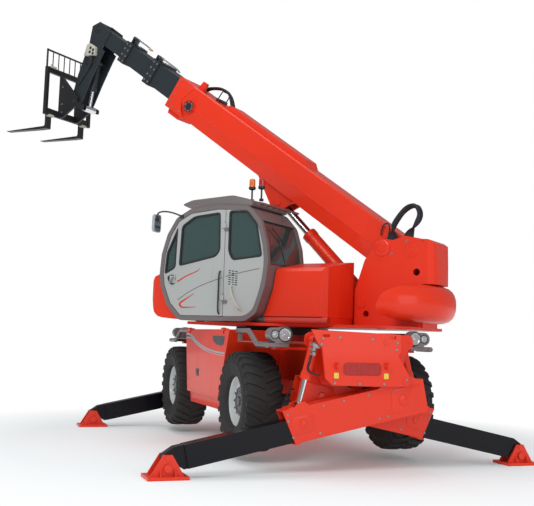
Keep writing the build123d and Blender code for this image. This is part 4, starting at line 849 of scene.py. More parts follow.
    def seat(self):
        """Driver's seat with a padded cushion and back, levers, and a wheel on its column."""
        floor, mid = 1.71, 0.757
        bm = bmesh.new()
        add_block(bm, (-0.06, mid - 0.19, floor), (0.3, mid + 0.19, floor + 0.4), TURRET, 0.03)
        for level in range(4):
            z = floor + 0.25 + 0.045 * level
            add_block(bm, (-0.075, mid - 0.205, z), (0.315, mid + 0.205, z + 0.02), TURRET, 0.008)
        back = rounded([(-0.1, floor + 0.5), (-0.222, floor + 1.11), (-0.15, floor + 1.125),
                        (-0.02, floor + 0.54)], 0.04)
        plate(bm, back, mid - 0.215, mid + 0.215, TURRET, ease=0.01)
        add_tube(bm, [(-0.17, mid, floor + 1.08), (-0.18, mid, floor + 1.16)], 0.03, 8, TURRET)
        for side in (-1, 1):
            add_block(bm, (-0.02, mid + side * 0.3 - 0.045, floor + 0.62),
                      (0.33, mid + side * 0.3 + 0.045, floor + 0.68),
                      TURRET, 0.02)
            add_tube(bm, [(0.0, mid + side * 0.26, floor + 0.45), (0.0, mid + side * 0.3, floor + 0.55),
                          (0.02, mid + side * 0.3, floor + 0.64)], 0.018, 8, TURRET)
            add_tube(bm, [(0.29, mid + side * 0.3, floor + 0.66), (0.3, mid + side * 0.3, floor + 0.76),
                          (0.31, mid + side * 0.3, floor + 0.82)], 0.016, 8, TURRET)
        seat_shell = piece("seat_shell", bm, "soft_trim", "turret", 45)
        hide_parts("cab_interior")
        for name, low, high, tilt in (
            ("seat_cushion", (-0.09, mid - 0.24, floor + 0.405), (0.42, mid + 0.24, floor + 0.54), 0.0),
            ("seat_back_pad", (-0.06, mid - 0.225, floor + 0.52), (0.03, mid + 0.225, floor + 1.1), 0.21),
            ("head_pad", (-0.07, mid - 0.12, floor + 1.11), (0.02, mid + 0.12, floor + 1.225), 0.21),
        ):
            bm = bmesh.new()
            self.pad(bm, Vector(low), Vector(high), tilt, floor + 0.5)
            pad = piece(name, bm, "seat_cloth", "turret", 70)
        bm = bmesh.new()
        add_tube(bm, [(0.73, mid, floor), (0.69, mid, floor + 0.25), (0.612, mid, floor + 0.68)], 0.042, 12, TURRET)
        add_block(bm, (0.67, mid - 0.08, floor - 0.004), (0.79, mid + 0.08, floor + 0.04), TURRET, 0.01)
        add_block(bm, (0.76, 0.411, floor - 0.004), (0.832, 1.103, floor + 0.43), TURRET, 0.02)
        wheel = at(TURRET, (0.606, mid, floor + 0.7), radians(-19), "Y") \
            @ Matrix.Rotation(pi / 2, 4, "X")
        add_lathe(bm, [(0.176 + 0.013 * cos(2 * pi * k / 10), 0.013 * sin(2 * pi * k / 10)) for k in range(11)], 40,
                  wheel)
        add_lathe(bm, [(0.0, 0.02), (0.04, 0.018), (0.045, 0.0), (0.04, -0.02), (0.0, -0.02)], 20, wheel)
        for spoke in range(3):
            turn = 2 * pi * spoke / 3 + 0.5
            add_tube(bm, [(0.03 * cos(turn), 0.0, 0.03 * sin(turn)), (0.1 * cos(turn), 0.004, 0.1 * sin(turn)),
                          (0.172 * cos(turn), 0.0, 0.172 * sin(turn))], 0.009, 8, wheel)
        piece("steering_wheel", bm, "hub_black", "turret", 45)

    def pad(self, bm, low, high, tilt, pivot_z):
        """A crowned cushion whose sides pull in between its corners, with two sewn channels."""
        size, mid = high - low, (low + high) / 2
        part = bmesh.new()
        bmesh.ops.create_cube(part, size=2.0)
        bmesh.ops.subdivide_edges(part, edges=part.edges, cuts=11, use_grid_fill=True)
        thin = min(range(3), key=lambda k: size[k])
        for vert in part.verts:
            p = vert.co.copy()
            others = [k for k in range(3) if k != thin]
            round_off = 1.0 - 0.1 * (abs(p[others[0]]) ** 6) * (abs(p[others[1]]) ** 6)
            crown = (1 - p[others[0]] ** 4) * (1 - p[others[1]] ** 4)
            across = p[1]
            channel = 0.16 * (max(0.0, 1 - abs(abs(across) - 0.5) / 0.07)) ** 2
            q = Vector((0, 0, 0))
            for k in others:
                other = others[1] if k == others[0] else others[0]
                pull = 1.0 - 0.035 * (1 - p[other] ** 2) * abs(p[k]) ** 8 - 0.09 * abs(p[thin]) ** 4 * abs(p[k]) ** 6
                q[k] = p[k] * pull * round_off
            q[thin] = p[thin] * (0.72 + 0.28 * crown - channel * (1 if p[thin] > 0 else 0))
            vert.co = Vector((mid[k] + q[k] * size[k] / 2 for k in range(3)))
        if tilt:
            place = Matrix.Translation((0, 0, pivot_z)) @ Matrix.Rotation(-tilt, 4, "Y") \
                @ Matrix.Translation((0, 0, -pivot_z))
            bmesh.ops.transform(part, matrix=place, verts=part.verts)
        join(bm, part, TURRET)

    def wiper(self):
        bm = bmesh.new()
        add_block(bm, (-0.445, 0.7, 2.395), (-0.38, 0.82, 2.455), TURRET, 0.01)
        add_tube(bm, [(-0.452, 0.76, 2.43), (-0.446, 0.8, 2.6), (-0.405, 0.9, 2.8)], 0.006, 6, TURRET)
        add_tube(bm, [(-0.425, 0.8, 2.72), (-0.405, 0.9, 2.8), (-0.385, 1.00, 2.88)], 0.008, 6, TURRET)
        piece("rear_wiper", bm, "hub_black", "turret")


# ---- boom ------------------------------------------------------------------------------
class TELEHANDLER_OT_boom(bpy.types.Operator):
    """Build the boom's collar plates, hoses, tubes, bolts and the valve box on its head"""
    bl_idname = "telehandler.boom"
    bl_label = "Boom"

    def execute(self, context):
        self.front_collar()
        self.hose_arch()
        self.tubes()
        self.pads()
        self.head()
        self.carriage()
        return {"FINISHED"}

    def front_collar(self):
        outline = [(3.96, -0.252), (4.392, -0.252), (4.398, 0.257), (4.096, 0.257), (4.056, 0.222), (4.158, -0.036),
                   (4.06, -0.16)]
        bm = bmesh.new()
        for side in (-1, 1):
            low, high = sorted((side * 0.249, side * 0.258))
            plate(bm, outline, low, high, ON_BOOM, ease=0.003)
            bead = [(-0.3, side * 0.25, -0.052), (1.2, side * 0.25, -0.05), (2.6, side * 0.25, -0.048),
                    (3.86, side * 0.25, -0.046)]
            add_tube(bm, bead, 0.0045, 8, ON_BOOM)
            path = smooth_path([(3.791, 0.088), (3.843, 0.209), (3.78, 0.252)])
            for a, b in zip(path, path[1:]):
                add_tube(bm, [(a.x, side * 0.25, a.y), ((a.x + b.x) / 2, side * 0.2505, (a.y + b.y) / 2),
                              (b.x, side * 0.25, b.y)], 0.004, 6, ON_BOOM)
        piece("boom_collar_plates", bm, "body_paint", "boom")
        bm = bmesh.new()
        for side in (-1, 1):
            place = at(ON_BOOM, (3.95, side * 0.281, -0.04), HALF_TURN[side])
            add_lathe(bm,
                      [(0.0, 0.006), (0.052, 0.006), (0.056, 0.001), (0.078, 0.001), (0.082, 0.005), (0.092, 0.004),
                           (0.096, -0.003), (0.0, -0.003)], 36, place)
        piece("boom_side_caps", bm, "hub_black", "boom")
        places = []
        for side in (-1, 1):
            points = [(s, 0.259, t) for s, t in ((4.345, 0.21), (4.345, 0.1), (4.345, -0.02), (4.345, -0.14),
                                                 (4.19, 0.21), (4.25, -0.2), (4.1, -0.2))]
            turns = [2 * pi * k / 6 for k in range(6)]
            points += [(3.95 + 0.068 * cos(turn), 0.283, -0.04 + 0.068 * sin(turn)) for turn in turns]
            places += [bolt(ON_BOOM, (s, side * y, t), (0, side, 0)) for s, y, t in points]
        fasten("boom_collar_bolts", places, "boom", radius=0.011)

    def hose_arch(self):
        """Hoses that leave the channel on the boom and arch over its front end."""
        bm = bmesh.new()
        for index in range(4):
            y = -0.055 + 0.033 * index
            rise = 0.012 * (index % 2)
            add_tube(bm, [(3.4, y, 0.275), (3.449, y, 0.328), (3.583, y, 0.43 + rise), (3.7, y, 0.448 + rise),
                          (3.801, y, 0.43 + rise), (3.93, y, 0.375), (4.016, y, 0.32), (4.06, y, 0.262)],
                     0.012, 8, ON_BOOM)
        piece("arch_hoses", bm, "hose_rubber", "boom")
        bm = bmesh.new()
        for index in range(4):
            y = -0.055 + 0.033 * index
            place = at(ON_BOOM, (4.06, y, 0.264), pi / 2, "X")
            add_lathe(bm, [(0.0, 0.022), (0.016, 0.022), (0.016, 0.012), (0.02, 0.01), (0.02, -0.006), (0.0, -0.006)],
                      6, place)
            place = at(ON_BOOM, (3.4, y, 0.266), pi / 2, "X")
            add_lathe(bm, [(0.0, 0.03), (0.016, 0.03), (0.016, 0.016), (0.019, 0.014), (0.019, -0.012), (0.0, -0.012)],
                      6, place)
        piece("arch_fittings", bm, "brass", "boom")
        bm = bmesh.new()
        add_block(bm, (3.66, -0.15, 0.256), (3.72, 0.09, 0.3), ON_BOOM, 0.006)
        for y in (-0.14, 0.08):
            add_tube(bm, [(3.69, y, 0.29), (3.69, y, 0.38), (3.69, y * 0.9, 0.43)], 0.009, 8, ON_BOOM)
        add_tube(bm, [(3.69, -0.126, 0.43), (3.69, -0.03, 0.424), (3.69, 0.072, 0.43)], 0.009, 8, ON_BOOM)
        piece("hose_saddle", bm, "black_steel", "boom")

    def tubes(self):
        """Steel tubes with their clips and fittings along the top of the sliding sections."""
        for name, body, top, rise, ys, s0, s1 in (
            ("second_tubes", "boom_second", 0.244, 0.062, (0.15, 0.185), 4.54, 5.08),
            ("third_tubes", "boom_third", 0.214, 0.1, (0.06, 0.095), 5.35, 5.8),
        ):
            level = top + rise
            bm = bmesh.new()
            for y in ys:
                add_tube(bm, [(s1, y, top - 0.002), (s1 - 0.01, y, level - 0.02), (s1 - 0.06, y, level),
                              ((s0 + s1) / 2, y, level + 0.002), (s0 + 0.06, y, level), (s0 + 0.01, y, level - 0.02),
                              (s0, y, level - 0.02)], 0.01, 8, ON_BOOM)
            piece(name, bm, "bolt_steel", body)
            bm = bmesh.new()
            for s in (s1 - 0.09, s1 - 0.02):
                base = top - 0.03
                add_block(bm, (s - 0.014, ys[0] - 0.022, base), (s + 0.014, ys[1] + 0.022, level + 0.014), ON_BOOM,
                          0.003)
            piece(name + "_clips", bm, "hub_black", body)
        bm = bmesh.new()
        for s, t in ((5.365, 0.3), (5.79, 0.3)):
            for y in (0.06, 0.095):
                place = at(ON_BOOM, (s, y, t), pi / 2)
                add_lathe(bm, [(0.0, 0.022), (0.017, 0.022), (0.017, 0.004), (0.014, 0.004), (0.014, -0.006),
                               (0.017, -0.006), (0.017, -0.022), (0.0, -0.022)], 6, place)
        piece("third_tube_fittings", bm, "brass", "boom_third")

    def pads(self):
        """Wear pad bolts on the collars of the sliding sections."""
        for name, body, front, half, low, high in (
            ("second_collar_bolts", "boom_second", 5.09, 0.222, -0.176, 0.244),
            ("third_collar_bolts", "boom_third", 5.808, 0.19, -0.146, 0.214),
        ):
            rows = (front - 0.115, front - 0.035)
            places = [bolt(ON_BOOM, (s, side * half, low + share * (high - low)), (0, side, 0))
                      for side in (-1, 1) for s in rows for share in (0.12, 0.36, 0.64, 0.88)]
            places += [bolt(ON_BOOM, (s, y, high), (0, 0, 1)) for s in rows for y in (-0.12, -0.04, 0.02)]
            fasten(name, places, body, radius=0.012)

    def head(self):
        """Valve box, hoses and pins on the gooseneck."""
        bm = bmesh.new()
        box = [(3.846, 6.27), (3.78, 6.286), (3.655, 6.205), (3.66, 6.06), (3.912, 6.085)]
        plate(bm, rounded(box, 0.015), 0.149, 0.205, TURRET, ease=0.006)
        piece("valve_cover", bm, "beige_steel", "boom_tip")
        bm = bmesh.new()
        for x, z in ((3.7, 6.155), (3.76, 6.2), (3.705, 6.095), (3.775, 6.13)):
            add_block(bm, (x - 0.02, 0.204, z - 0.022), (x + 0.02, 0.214, z + 0.022), TURRET, 0.004)
        piece("valve_ports", bm, "hub_black", "boom_tip")
        bm = bmesh.new()
        for index in range(3):
            shift = 0.024 * index
            add_tube(bm, [(3.735 + shift, 0.196, 6.07), (3.72 + shift, 0.192, 5.99), (3.8 + shift, 0.164, 5.88),
                          (3.93 + shift, 0.162, 5.735), (4.04 + shift * 0.6, 0.16, 5.61)], 0.01, 8, TURRET)
        add_tube(bm, [(3.86, 0.2, 6.13), (3.895, 0.19, 6.03), (3.905, 0.165, 5.93), (3.83, 0.16, 5.88)], 0.009,
                 8, TURRET)
        piece("head_hoses", bm, "hose_rubber", "boom_tip")
        bm = bmesh.new()
        for side in (-1, 1):
            for s, t, radius in ((6.33, -0.42, 0.06), (6.56, 0.06, 0.045)):
                place = at(ON_BOOM, (s, side * 0.15, t), HALF_TURN[side])
                add_lathe(bm, [(0.0, 0.014), (radius * 0.55, 0.014), (radius * 0.62, 0.008), (radius * 0.94, 0.008),
                               (radius, 0.003), (radius, -0.002), (0.0, -0.002)], 28, place)
        piece("head_pin_caps", bm, "black_steel", "boom_tip")
        bm = bmesh.new()
        for side in (-1, 1):
            low, high = sorted((side * 0.149, side * 0.1535))
            rib = [(6.3, 0.17), (6.59, 0.175), (6.69, 0.06), (6.64, -0.06), (6.578, -0.2), (6.478, -0.64),
                   (6.452, -0.74), (6.42, -0.735), (6.446, -0.64), (6.546, -0.19), (6.606, -0.06), (6.65, 0.05),
                   (6.575, 0.142), (6.3, 0.138)]
            plate(bm, rib, low, high, ON_BOOM, ease=0.001)
        piece("head_edge_ribs", bm, "boom_paint", "boom_tip")

    def carriage(self):
        """Hooks, latches and pin caps of the fork carriage."""
        bm = bmesh.new()
        for side in (-1, 1):
            y = side * 0.39
            for z in (5.886, 5.052):
                add_block(bm, (4.388, y - 0.06, z - 0.012), (4.452, y + 0.06, z + 0.026), TURRET, 0.006)
            add_tube(bm, [(4.436, side * 0.39, 5.9), (4.442, side * 0.39, 5.945), (4.46, side * 0.4, 5.955)], 0.01,
                     8, TURRET)
        piece("fork_latches", bm, "beige_steel", "fork_carriage")
        places = []
        for side in (-1, 1):
            places += [bolt(TURRET, (4.446, side * 0.505, z), (1, 0, 0)) for z in (5.1, 5.14, 5.81, 5.85)]
            places += [bolt(TURRET, (4.35, side * 0.206, z), (0, side, 0)) for z in (5.16, 5.3, 5.6)]
        fasten("carriage_bolts", places, "fork_carriage", radius=0.012)


# ---- turret ----------------------------------------------------------------------------
class TELEHANDLER_OT_turret(bpy.types.Operator):
    """Build the turret's grey rail, hoses, pin caps and bolts"""
    bl_idname = "telehandler.turret"
    bl_label = "Turret"

    def execute(self, context):
        bm = bmesh.new()
        add_tube(bm, [(-1.235, 0.997, 1.6837), (-1.05, 0.997, 1.6837), (-0.6, 0.997, 1.6837), (-0.34, 0.997, 1.6837)],
                 0.0436, 16, TURRET)
        add_tube(bm, [(-0.36, 0.997, 1.6837), (-0.3, 0.997, 1.684), (-0.22, 0.99, 1.69), (-0.15, 0.975, 1.7)],
                 0.0434, 16, TURRET)
        piece("hood_rail", bm, "frame_paint", "turret")
        self.hoses()
        self.counterweight()
        bm = bmesh.new()
        places = []
        for side in (-1, 1):
            for x, z, radius, face in ((-1.635, 2.657, 0.112, 0.311), (-2.04, 2.612, 0.092, 0.307)):
                place = at(TURRET, (x, side * face, z), HALF_TURN[side])
                add_lathe(bm, [(0.0, 0.006), (radius * 0.5, 0.006), (radius * 0.54, 0.001), (radius * 0.9, 0.001),
                               (radius * 0.97, -0.004), (0.0, -0.004)], 36, place)
            places += [bolt(TURRET, (x, side * 0.301, z), (0, side, 0))
                       for x, z in ((-1.56, 2.61), (-1.77, 2.575), (-1.965, 2.735))]
        piece("turret_pin_caps", bm, "body_paint", "turret")
        fasten("turret_bolts", places, "turret", radius=0.011)
        return {"FINISHED"}

    def hoses(self):
        """Loops of hose that rise beside the boom's foot and bend back to the turret."""
        bm = bmesh.new()
        for index in range(7):
            y, out = 0.279 + 0.025 * index, 0.02 * ((index * 3) % 4)
            start, end = -1.7 - 0.022 * index, -1.925 - 0.02 * index
            add_tube(bm, [(start, 0.281, 2.715), (start - 0.012, 0.281, 2.8), (-1.79 - out * 0.3, y, 2.905),
                          (-1.857 - out * 0.4, y, 3.025), (-1.985 - out * 0.3, y, 3.15 + out * 0.4),
                          (-2.105 - out * 0.5, y, 3.18 + out * 0.3), (-2.165 - out * 0.5, y, 3.06),
                          (-2.105 - out * 0.4, y, 2.93), (end - 0.012, 0.285, 2.85), (end, 0.281, 2.755)],
                     0.0115, 8, TURRET)
        piece("loop_hoses", bm, "hose_rubber", "turret")
        bm = bmesh.new()
        add_tube(bm, [(-1.605, 0.281, 2.82), (-1.616, 0.281, 2.921), (-1.66, 0.281, 2.975), (-1.715, 0.281, 2.975),
                      (-1.735, 0.281, 2.9), (-1.7, 0.281, 2.76)], 0.01, 8, TURRET)
        piece("loop_straps", bm, "hose_rubber", "turret")

    def counterweight(self):
        """Smooth cast counterweight with an easy curve at its front, top and bottom."""
        centre = Matrix.Translation((-1.52, 0, 0)) @ Matrix.Rotation(pi / 2, 4, "X")
        profile = [(0.0, 1.69), (0.7, 1.69), (0.8, 1.7), (0.87, 1.725), (0.915, 1.765), (0.942, 1.82),
                   (0.955, 1.88), (0.959, 1.945), (0.955, 2.005), (0.94, 2.06), (0.912, 2.108), (0.87, 2.145),
                   (0.81, 2.167), (0.74, 2.174), (0.0, 2.174)]
        part = bmesh.new()
        add_lathe(part, profile, 112, centre)
        front = smooth_path([(-2.23, 2.178), (-2.065, 2.138), (-1.9, 2.04), (-1.822, 1.88), (-1.85, 1.8),
                             (-1.948, 1.742), (-2.2, 1.687)], 3)
        for p, q in zip(front, front[1:]):
            way = (q - p).normalized()
            normal = Vector((way.y, 0, -way.x))
            if normal.dot(Vector((-2.2 - p.x, 0, 1.93 - p.y))) > 0:
                normal = -normal
            bmesh.ops.bisect_plane(part, geom=part.verts[:] + part.edges[:] + part.faces[:], dist=1e-6,
                                   plane_co=(p.x, 0, p.y), plane_no=normal, clear_outer=True)
            bmesh.ops.holes_fill(part, edges=[e for e in part.edges if e.is_boundary], sides=0)
        bm = bmesh.new()
        join(bm, part, TURRET)
        weight = piece("cast_counterweight", bm, "body_paint", "turret", smooth=40)
        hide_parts("counterweight")


# ---- chassis ---------------------------------------------------------------------------
class TELEHANDLER_OT_chassis(bpy.types.Operator):
    """Build the end plates' mesh, markers and bolts, the lamps, the cover's band and the valve blocks"""
    bl_idname = "telehandler.chassis"
    bl_label = "Chassis"

    def execute(self, context):
        for end, name in ((1, "front"), (-1, "rear")):
            self.plate_trim(end, name)
            self.valve(end, name)
        self.lamps()
        self.cover()
        return {"FINISHED"}

    def on_end(self, end):
        """Local X is across the plate, Z up, and -Y outwards."""
        return at(Matrix(), (end * END_PLATE, 0, 0), end * pi / 2)

    def plate_trim(self, end, name):
        place = self.on_end(end)
        window = rounded([(-0.35, 1.068), (0.115, 1.068), (0.115, 1.208), (-0.35, 1.208)], 0.034)
        bm = bmesh.new()
        plate(bm, window, 0.012, 0.016, place)
        for n in range(32):
            x = -0.343 + 0.4535 * n / 31
            add_block(bm, (x - 0.002, 0.0005, 1.07), (x + 0.002, 0.0035, 1.206), place)
        for n in range(10):
            z = 1.076 + 0.0138 * n
            add_block(bm, (-0.349, 0.001, z - 0.002), (0.114, 0.003, z + 0.002), place)
        piece(f"{name}_grille_mesh", bm, "stripe_red", "chassis")
        bm = bmesh.new()
        for x in (-0.431, 0.177):
            plate(bm, rounded([(x - 0.028, 1.035), (x + 0.028, 1.035), (x + 0.028, 1.095), (x - 0.028, 1.095)], 0.004),
                  -0.0022, 0.001, place)
        piece(f"{name}_markers", bm, "yellow_tape", "chassis")
        places = [bolt(place, (x, -0.001, z), (0, -1, 0)) for x,
                  z in ((-0.6, 1.46), (-0.4, 1.48), (0.0, 1.47), (0.31, 1.44), (0.3, 1.36), (-0.62, 1.4),
                     (0.43, 1.03), (0.15, 0.98), (-0.15, 0.98), (-0.45, 0.985))]
        fasten(f"{name}_plate_bolts", places, "chassis", radius=0.011)
        bm = bmesh.new()
        cap = at(place, (0.172, -0.008, 1.432), pi)
        add_lathe(bm, [(0.0, 0.004), (0.012, 0.004), (0.014, 0.001), (0.028, 0.001), (0.033, -0.004), (0.0, -0.004)],
                  24, cap)
        piece(f"{name}_plate_cap", bm, "body_paint", "chassis")

    def valve(self, end, name):
        """Valve block with its hoses beside the cylinder on the end plate."""
        place = self.on_end(end)
        bm = bmesh.new()
        for level in range(3):
            z = 1.27 + 0.052 * level
            add_block(bm, (-0.705, 0.034, z), (-0.665, 0.082, z + 0.042), place, 0.005)
            add_lathe(bm, [(0.0, 0.02), (0.012, 0.02), (0.012, 0.0), (0.0, 0.0)], 10,
                      at(place, (-0.705, 0.058, z + 0.02), pi / 2))
        add_block(bm, (-0.7, 0.0302, 1.352), (-0.6, 0.0362, 1.404), place, 0.002)
        piece(f"{name}_valve_block", bm, "bolt_steel", "chassis")
        bm = bmesh.new()
        for index in range(2):
            shift = 0.018 * index
            add_tube(bm, [(-0.7 - shift, 0.06, 1.275), (-0.715 - shift, 0.06, 1.2), (-0.745 - shift, 0.056, 1.13),
                          (-0.7 - shift, 0.05, 1.08), (-0.6 - shift, 0.044, 1.06)], 0.008, 8, place)
        add_tube(bm, [(-0.685, 0.058, 1.41), (-0.682, 0.058, 1.46), (-0.66, 0.05, 1.49), (-0.63, 0.036, 1.49)],
                 0.008, 8, place)
        piece(f"{name}_valve_hoses", bm, "hose_rubber", "chassis")

    def lamps(self):
        """Dark lamp shells with a chromed bowl and a lens for every lamp."""
        low, high, _ = box_of("headlamps")
        shells, bowls, glass = bmesh.new(), bmesh.new(), bmesh.new()
        for end in (1, -1):
            for side in (1, -1):
                for y, radius in ((0.838, 0.074), (0.958, 0.044)):
                    face = high.x if end > 0 else low.x
                    place = at(Matrix(), (face, side * y, 1.49), -end * pi / 2)
                    add_lathe(shells, [(radius + 0.011, -0.05), (radius + 0.012, -0.006), (radius + 0.009, 0.0015),
                                       (radius + 0.001, 0.001), (radius - 0.001, -0.008), (radius - 0.001, -0.05)], 32,
                              place)
                    add_lathe(bowls, [(radius - 0.001, -0.004), (radius * 0.86, -0.018), (radius * 0.55, -0.034),
                                      (radius * 0.2, -0.04), (0.012, -0.04), (0.01, -0.022), (0.0, -0.02)], 32, place)
                    add_lathe(glass,
                              [(0.0, 0.004), (radius * 0.6, 0.003), (radius * 0.96, -0.001), (radius * 0.96, -0.004),
                                      (radius * 0.6, 0.0), (0.0, 0.001)], 32, place)
        piece("lamp_bezels", shells, "hub_black", "chassis")
        shown = piece("lamp_bowls", bowls, "chrome", "chassis")
        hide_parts("headlamps")
        piece("lamp_lenses", glass, "clear_lens", "chassis")

    def cover(self):
        """Curved band, blank badge and latch on the engine cover."""
        face = Matrix.Translation((0, COVER_FACE, 0))
        bm = bmesh.new()
        for shift, width in ((0.0, 0.02), (-0.03, 0.008)):
            path = smooth_path([(-0.885, 1.462 + shift), (-0.62, 1.448 + shift), (-0.3, 1.36 + shift),
                                (0.1, 1.288 + shift), (0.55, 1.252 + shift), (0.985, 1.24 + shift)])
            last = len(path) - 1
            stripe(bm, path, [width + 0.035 * (1 - k / last) ** 2 for k in range(last + 1)], -0.0022, 0.003, face)
        piece("cover_band", bm, "mirror_shell", "engine_cover")
        bm = bmesh.new()
        badge = rounded([(0.44, 1.455), (0.46, 1.395), (0.6, 1.345), (0.86, 1.33), (0.93, 1.355), (0.98, 1.455)], 0.05)
        plate(bm, badge, -0.0026, 0.001, face)
        piece("cover_badge", bm, "hub_black", "engine_cover")
        bm = bmesh.new()
        plate(bm, rounded([(-0.3, 0.895), (-0.17, 0.895), (-0.17, 1.00), (-0.3, 1.00)], 0.01), -0.004, 0.001, face,
              ease=0.001)
        add_block(bm, (-0.255, -0.01, 0.915), (-0.215, 0.001, 0.98), face, 0.004)
        piece("cover_latch", bm, "hub_black", "engine_cover")


# ---- stabilisers -----------------------------------------------------------------------
class TELEHANDLER_OT_stabilisers(bpy.types.Operator):
    """Build the arms' cover plates, hoses and bolts and the feet's bosses"""
    bl_idname = "telehandler.stabilisers"
    bl_label = "Stabilisers"

    # name: X of its plane, side its foot is on
    arms = (("front_right", 2.600, -1), ("front_left", 2.300, 1), ("rear_right", -2.300, -1), ("rear_left", -2.600, 1))

    def execute(self, context):
        for name, x, side in self.arms:
            facing = at(Matrix(), (x, -side * 0.42, 1.005), HALF_TURN[side])
            hinge = facing @ Matrix.Rotation(pi / 2, 4, "Z") @ Matrix.Rotation(radians(12), 4, "Y")
            self.arm(name, hinge)
            self.foot(name, x)
        return {"FINISHED"}

    def arm(self, name, hinge):
        bm = bmesh.new()
        places = []
        for face in (-1, 1):
            low, high = sorted((face * 0.099, face * 0.104))
            cover = rounded([(-0.225, -0.06), (0.16, -0.06), (0.2, -0.33), (-0.12, -0.345)], 0.05)
            plate(bm, cover, low, high, hinge, ease=0.0015)
            cover = rounded([(1.13, -0.11), (1.4, -0.11), (1.395, -0.3), (1.15, -0.3)], 0.05)
            plate(bm, cover, low, high, hinge, ease=0.0015)
            for x, z, radius in ((0.03, -0.2, 0.06), (1.265, -0.2, 0.045)):
                place = at(hinge, (x, face * 0.104, z), HALF_TURN[face])
                add_lathe(bm, [(0.0, 0.012), (radius * 0.8, 0.012), (radius * 0.96, 0.008), (radius, 0.0), (0.0, 0.0)],
                          28, place)
            places += [bolt(hinge, (x, face * 0.101, z), (0, face, 0)) for x, z in (
                (1.425, -0.07), (1.405, -0.32), (1.43, -0.14), (0.45, -0.06), (0.75, -0.06), (1.0, -0.06),
                (0.25, -0.34), (0.36, -0.34), (1.09, -0.34))]
        piece(f"{name}_arm_covers", bm, "body_paint", f"{name}_arm")
        fasten(f"{name}_arm_bolts", places, f"{name}_arm", radius=0.009, height=0.007)
        bm = bmesh.new()
        add_tube(bm, [(-0.262, 0.04, -0.18), (-0.3, 0.04, -0.18), (-0.33, 0.04, -0.23), (-0.32, 0.04, -0.3),
                      (-0.262, 0.04, -0.33)], 0.009, 8, hinge)
        piece(f"{name}_arm_hose", bm, "hose_rubber", f"{name}_arm")

    def foot(self, name, x):
        low, _, middle = box_of(f"{name}_foot")
        leg_low, leg_high, _ = box_of(f"{name}_leg")
        reach = (leg_high.x - leg_low.x) / 2 + 0.034
        bm = bmesh.new()
        for face in (-1, 1):
            place = at(Matrix(), (x + face * reach, middle.y, low.z + 0.11), -face * pi / 2)
            add_lathe(bm, [(0.0, 0.008), (0.038, 0.008), (0.043, 0.003), (0.043, -0.004), (0.0, -0.004)], 28, place)
        piece(f"{name}_foot_bosses", bm, "body_paint", f"{name}_foot")


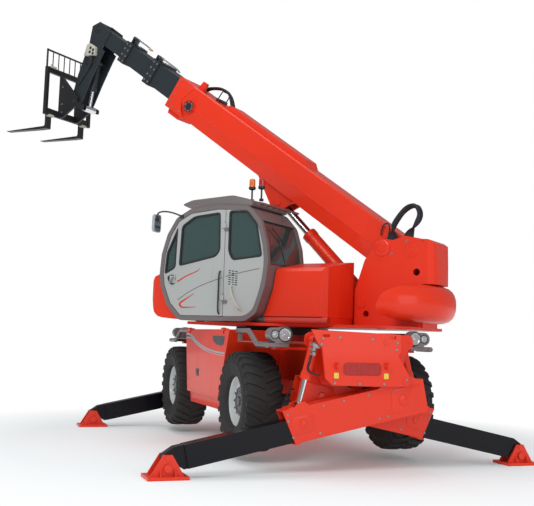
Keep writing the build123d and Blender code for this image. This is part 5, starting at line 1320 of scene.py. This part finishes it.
# ---- stage -----------------------------------------------------------------------------
class TELEHANDLER_OT_stage(bpy.types.Operator):
    """Build the pale floor, the white surroundings, the soft lights and the camera"""
    bl_idname = "telehandler.stage"
    bl_label = "Studio"

    def execute(self, context):
        scene = context.scene
        self.floor(scene)
        self.surroundings(scene)
        self.lamps(scene)
        self.camera(scene)
        scene.view_settings.view_transform = "Standard"
        return {"FINISHED"}

    def floor(self, scene):
        mesh = bpy.data.meshes.new("floor")
        reach = 60.0
        mesh.from_pydata([(-reach, -reach, 0), (reach, -reach, 0), (reach, reach, 0), (-reach, reach, 0)], [],
                         [(0, 1, 2, 3)])
        obj = bpy.data.objects.new("floor", mesh)
        scene.collection.objects.link(obj)
        tree, shader = blank("studio_floor")
        feed(shader, {"Base Color": (0.90, 0.93, 0.93, 1), "Emission Color": (0.93, 1.0, 1.0, 1),
                      "Emission Strength": 0.12, "Roughness": 0.9, "Specular IOR Level": 0.1})
        glow = add_node(tree, "ShaderNodeEmission")
        point = add_node(tree, "ShaderNodeTexCoord").outputs["Object"]
        far = add_node(tree, "ShaderNodeVectorMath", {0: point}, operation="LENGTH").outputs["Value"]
        near = math_node(tree, "SUBTRACT", far, 3.6)
        fade = math_node(tree, "DIVIDE", near, 2.2, clamp=True)
        mix = add_node(tree, "ShaderNodeMixShader", {0: fade, 1: shader.outputs[0], 2: glow.outputs[0]})
        feed(tree.nodes["Material Output"], {0: mix.outputs[0]})
        mesh.materials.append(MATERIALS["studio_floor"])

    def surroundings(self, scene):
        """White to the camera, softer and cooler as a light, dimmer in reflections."""
        scene.world = bpy.data.worlds.new("studio")
        scene.world.use_nodes = True
        tree = scene.world.node_tree
        tree.nodes.clear()
        path = add_node(tree, "ShaderNodeLightPath").outputs
        dim = add_node(tree, "ShaderNodeMath", {0: path["Is Glossy Ray"], 1: -0.22, 2: 0.5},
                       operation="MULTIPLY_ADD").outputs[0]
        seen = add_node(tree, "ShaderNodeBackground", {"Color": (1, 1, 1, 1), "Strength": 1.0})
        light = add_node(tree, "ShaderNodeBackground", {"Color": (0.93, 0.96, 1.0, 1), "Strength": dim})
        shown = math_node(tree, "MAXIMUM", path["Is Camera Ray"], path["Is Transmission Ray"])
        mix = add_node(tree, "ShaderNodeMixShader", {0: shown, 1: light.outputs[0], 2: seen.outputs[0]})
        add_node(tree, "ShaderNodeOutputWorld", {0: mix.outputs[0]})

    def lamps(self, scene):
        # name, place, target, size, watts
        table = (
            ("key", (9.0, -9.0, 9.5), (0, 0, 1.5), 5.0, 640),
            ("fill", (13.0, 3.0, 4.0), (0, 0, 2.0), 6.0, 230),
            ("top", (-1.0, -2.0, 13.0), (0, 0, 0), 7.0, 330),
        )
        for name, place, target, size, watts in table:
            lamp = bpy.data.lights.new(name, "AREA")
            lamp.size = size
            lamp.energy = watts
            obj = bpy.data.objects.new(name, lamp)
            obj.location = place
            obj.rotation_euler = (Vector(target) - Vector(place)).to_track_quat("-Z", "Y").to_euler()
            scene.collection.objects.link(obj)

    def camera(self, scene):
        place = Vector((11.115, -4.322, 1.445))
        yaw, pitch, roll = radians(159.66), radians(5.83), radians(1.79)
        ahead = Vector((cos(yaw) * cos(pitch), sin(yaw) * cos(pitch), sin(pitch)))
        right = Vector((sin(yaw), -cos(yaw), 0.0))
        up = right.cross(ahead)
        right_rolled = cos(roll) * right + sin(roll) * up
        up_rolled = -sin(roll) * right + cos(roll) * up
        matrix = Matrix((right_rolled, up_rolled, -ahead)).transposed().to_4x4()
        matrix.translation = place
        lens_data = bpy.data.cameras.new("camera")
        lens_data.sensor_width = 36.0
        lens_data.lens = 56.63
        lens_data.shift_x = -0.008
        lens_data.shift_y = -0.001
        lens_data.clip_end = 200.0
        obj = bpy.data.objects.new("camera", lens_data)
        scene.collection.objects.link(obj)
        obj.matrix_world = matrix
        scene.camera = obj


# ---- panel and registration ------------------------------------------------------------
STEPS = (
    TELEHANDLER_OT_finishes,
    TELEHANDLER_OT_stage,
    TELEHANDLER_OT_tyres,
    TELEHANDLER_OT_wheels,
    TELEHANDLER_OT_cab,
    TELEHANDLER_OT_boom,
    TELEHANDLER_OT_turret,
    TELEHANDLER_OT_chassis,
    TELEHANDLER_OT_stabilisers,
)


class TELEHANDLER_PT_panel(bpy.types.Panel):
    """Lists the steps that finish the telehandler"""
    bl_label = "Telehandler"
    bl_idname = "TELEHANDLER_PT_panel"
    bl_space_type = "VIEW_3D"
    bl_region_type = "UI"
    bl_category = "Telehandler"

    def draw(self, context):
        layout = self.layout
        for step in STEPS:
            layout.operator(step.bl_idname)
        for group in (context.scene.telehandler_colours, context.scene.telehandler_sizes):
            for key in group.bl_rna.properties.keys():
                if key not in ("rna_type", "name"):
                    layout.prop(group, key)


CLASSES = (TelehandlerColours, TelehandlerSizes, *STEPS, TELEHANDLER_PT_panel)


def register():
    for cls in CLASSES:
        bpy.utils.register_class(cls)
    bpy.types.Scene.telehandler_colours = PointerProperty(type=TelehandlerColours)
    bpy.types.Scene.telehandler_sizes = PointerProperty(type=TelehandlerSizes)


def unregister():
    del bpy.types.Scene.telehandler_sizes
    del bpy.types.Scene.telehandler_colours
    for cls in reversed(CLASSES):
        bpy.utils.unregister_class(cls)


def main():
    register()
    for step in STEPS:
        family, verb = step.bl_idname.split(".")
        getattr(getattr(bpy.ops, family), verb)()


if __name__ == "__main__":
    main()
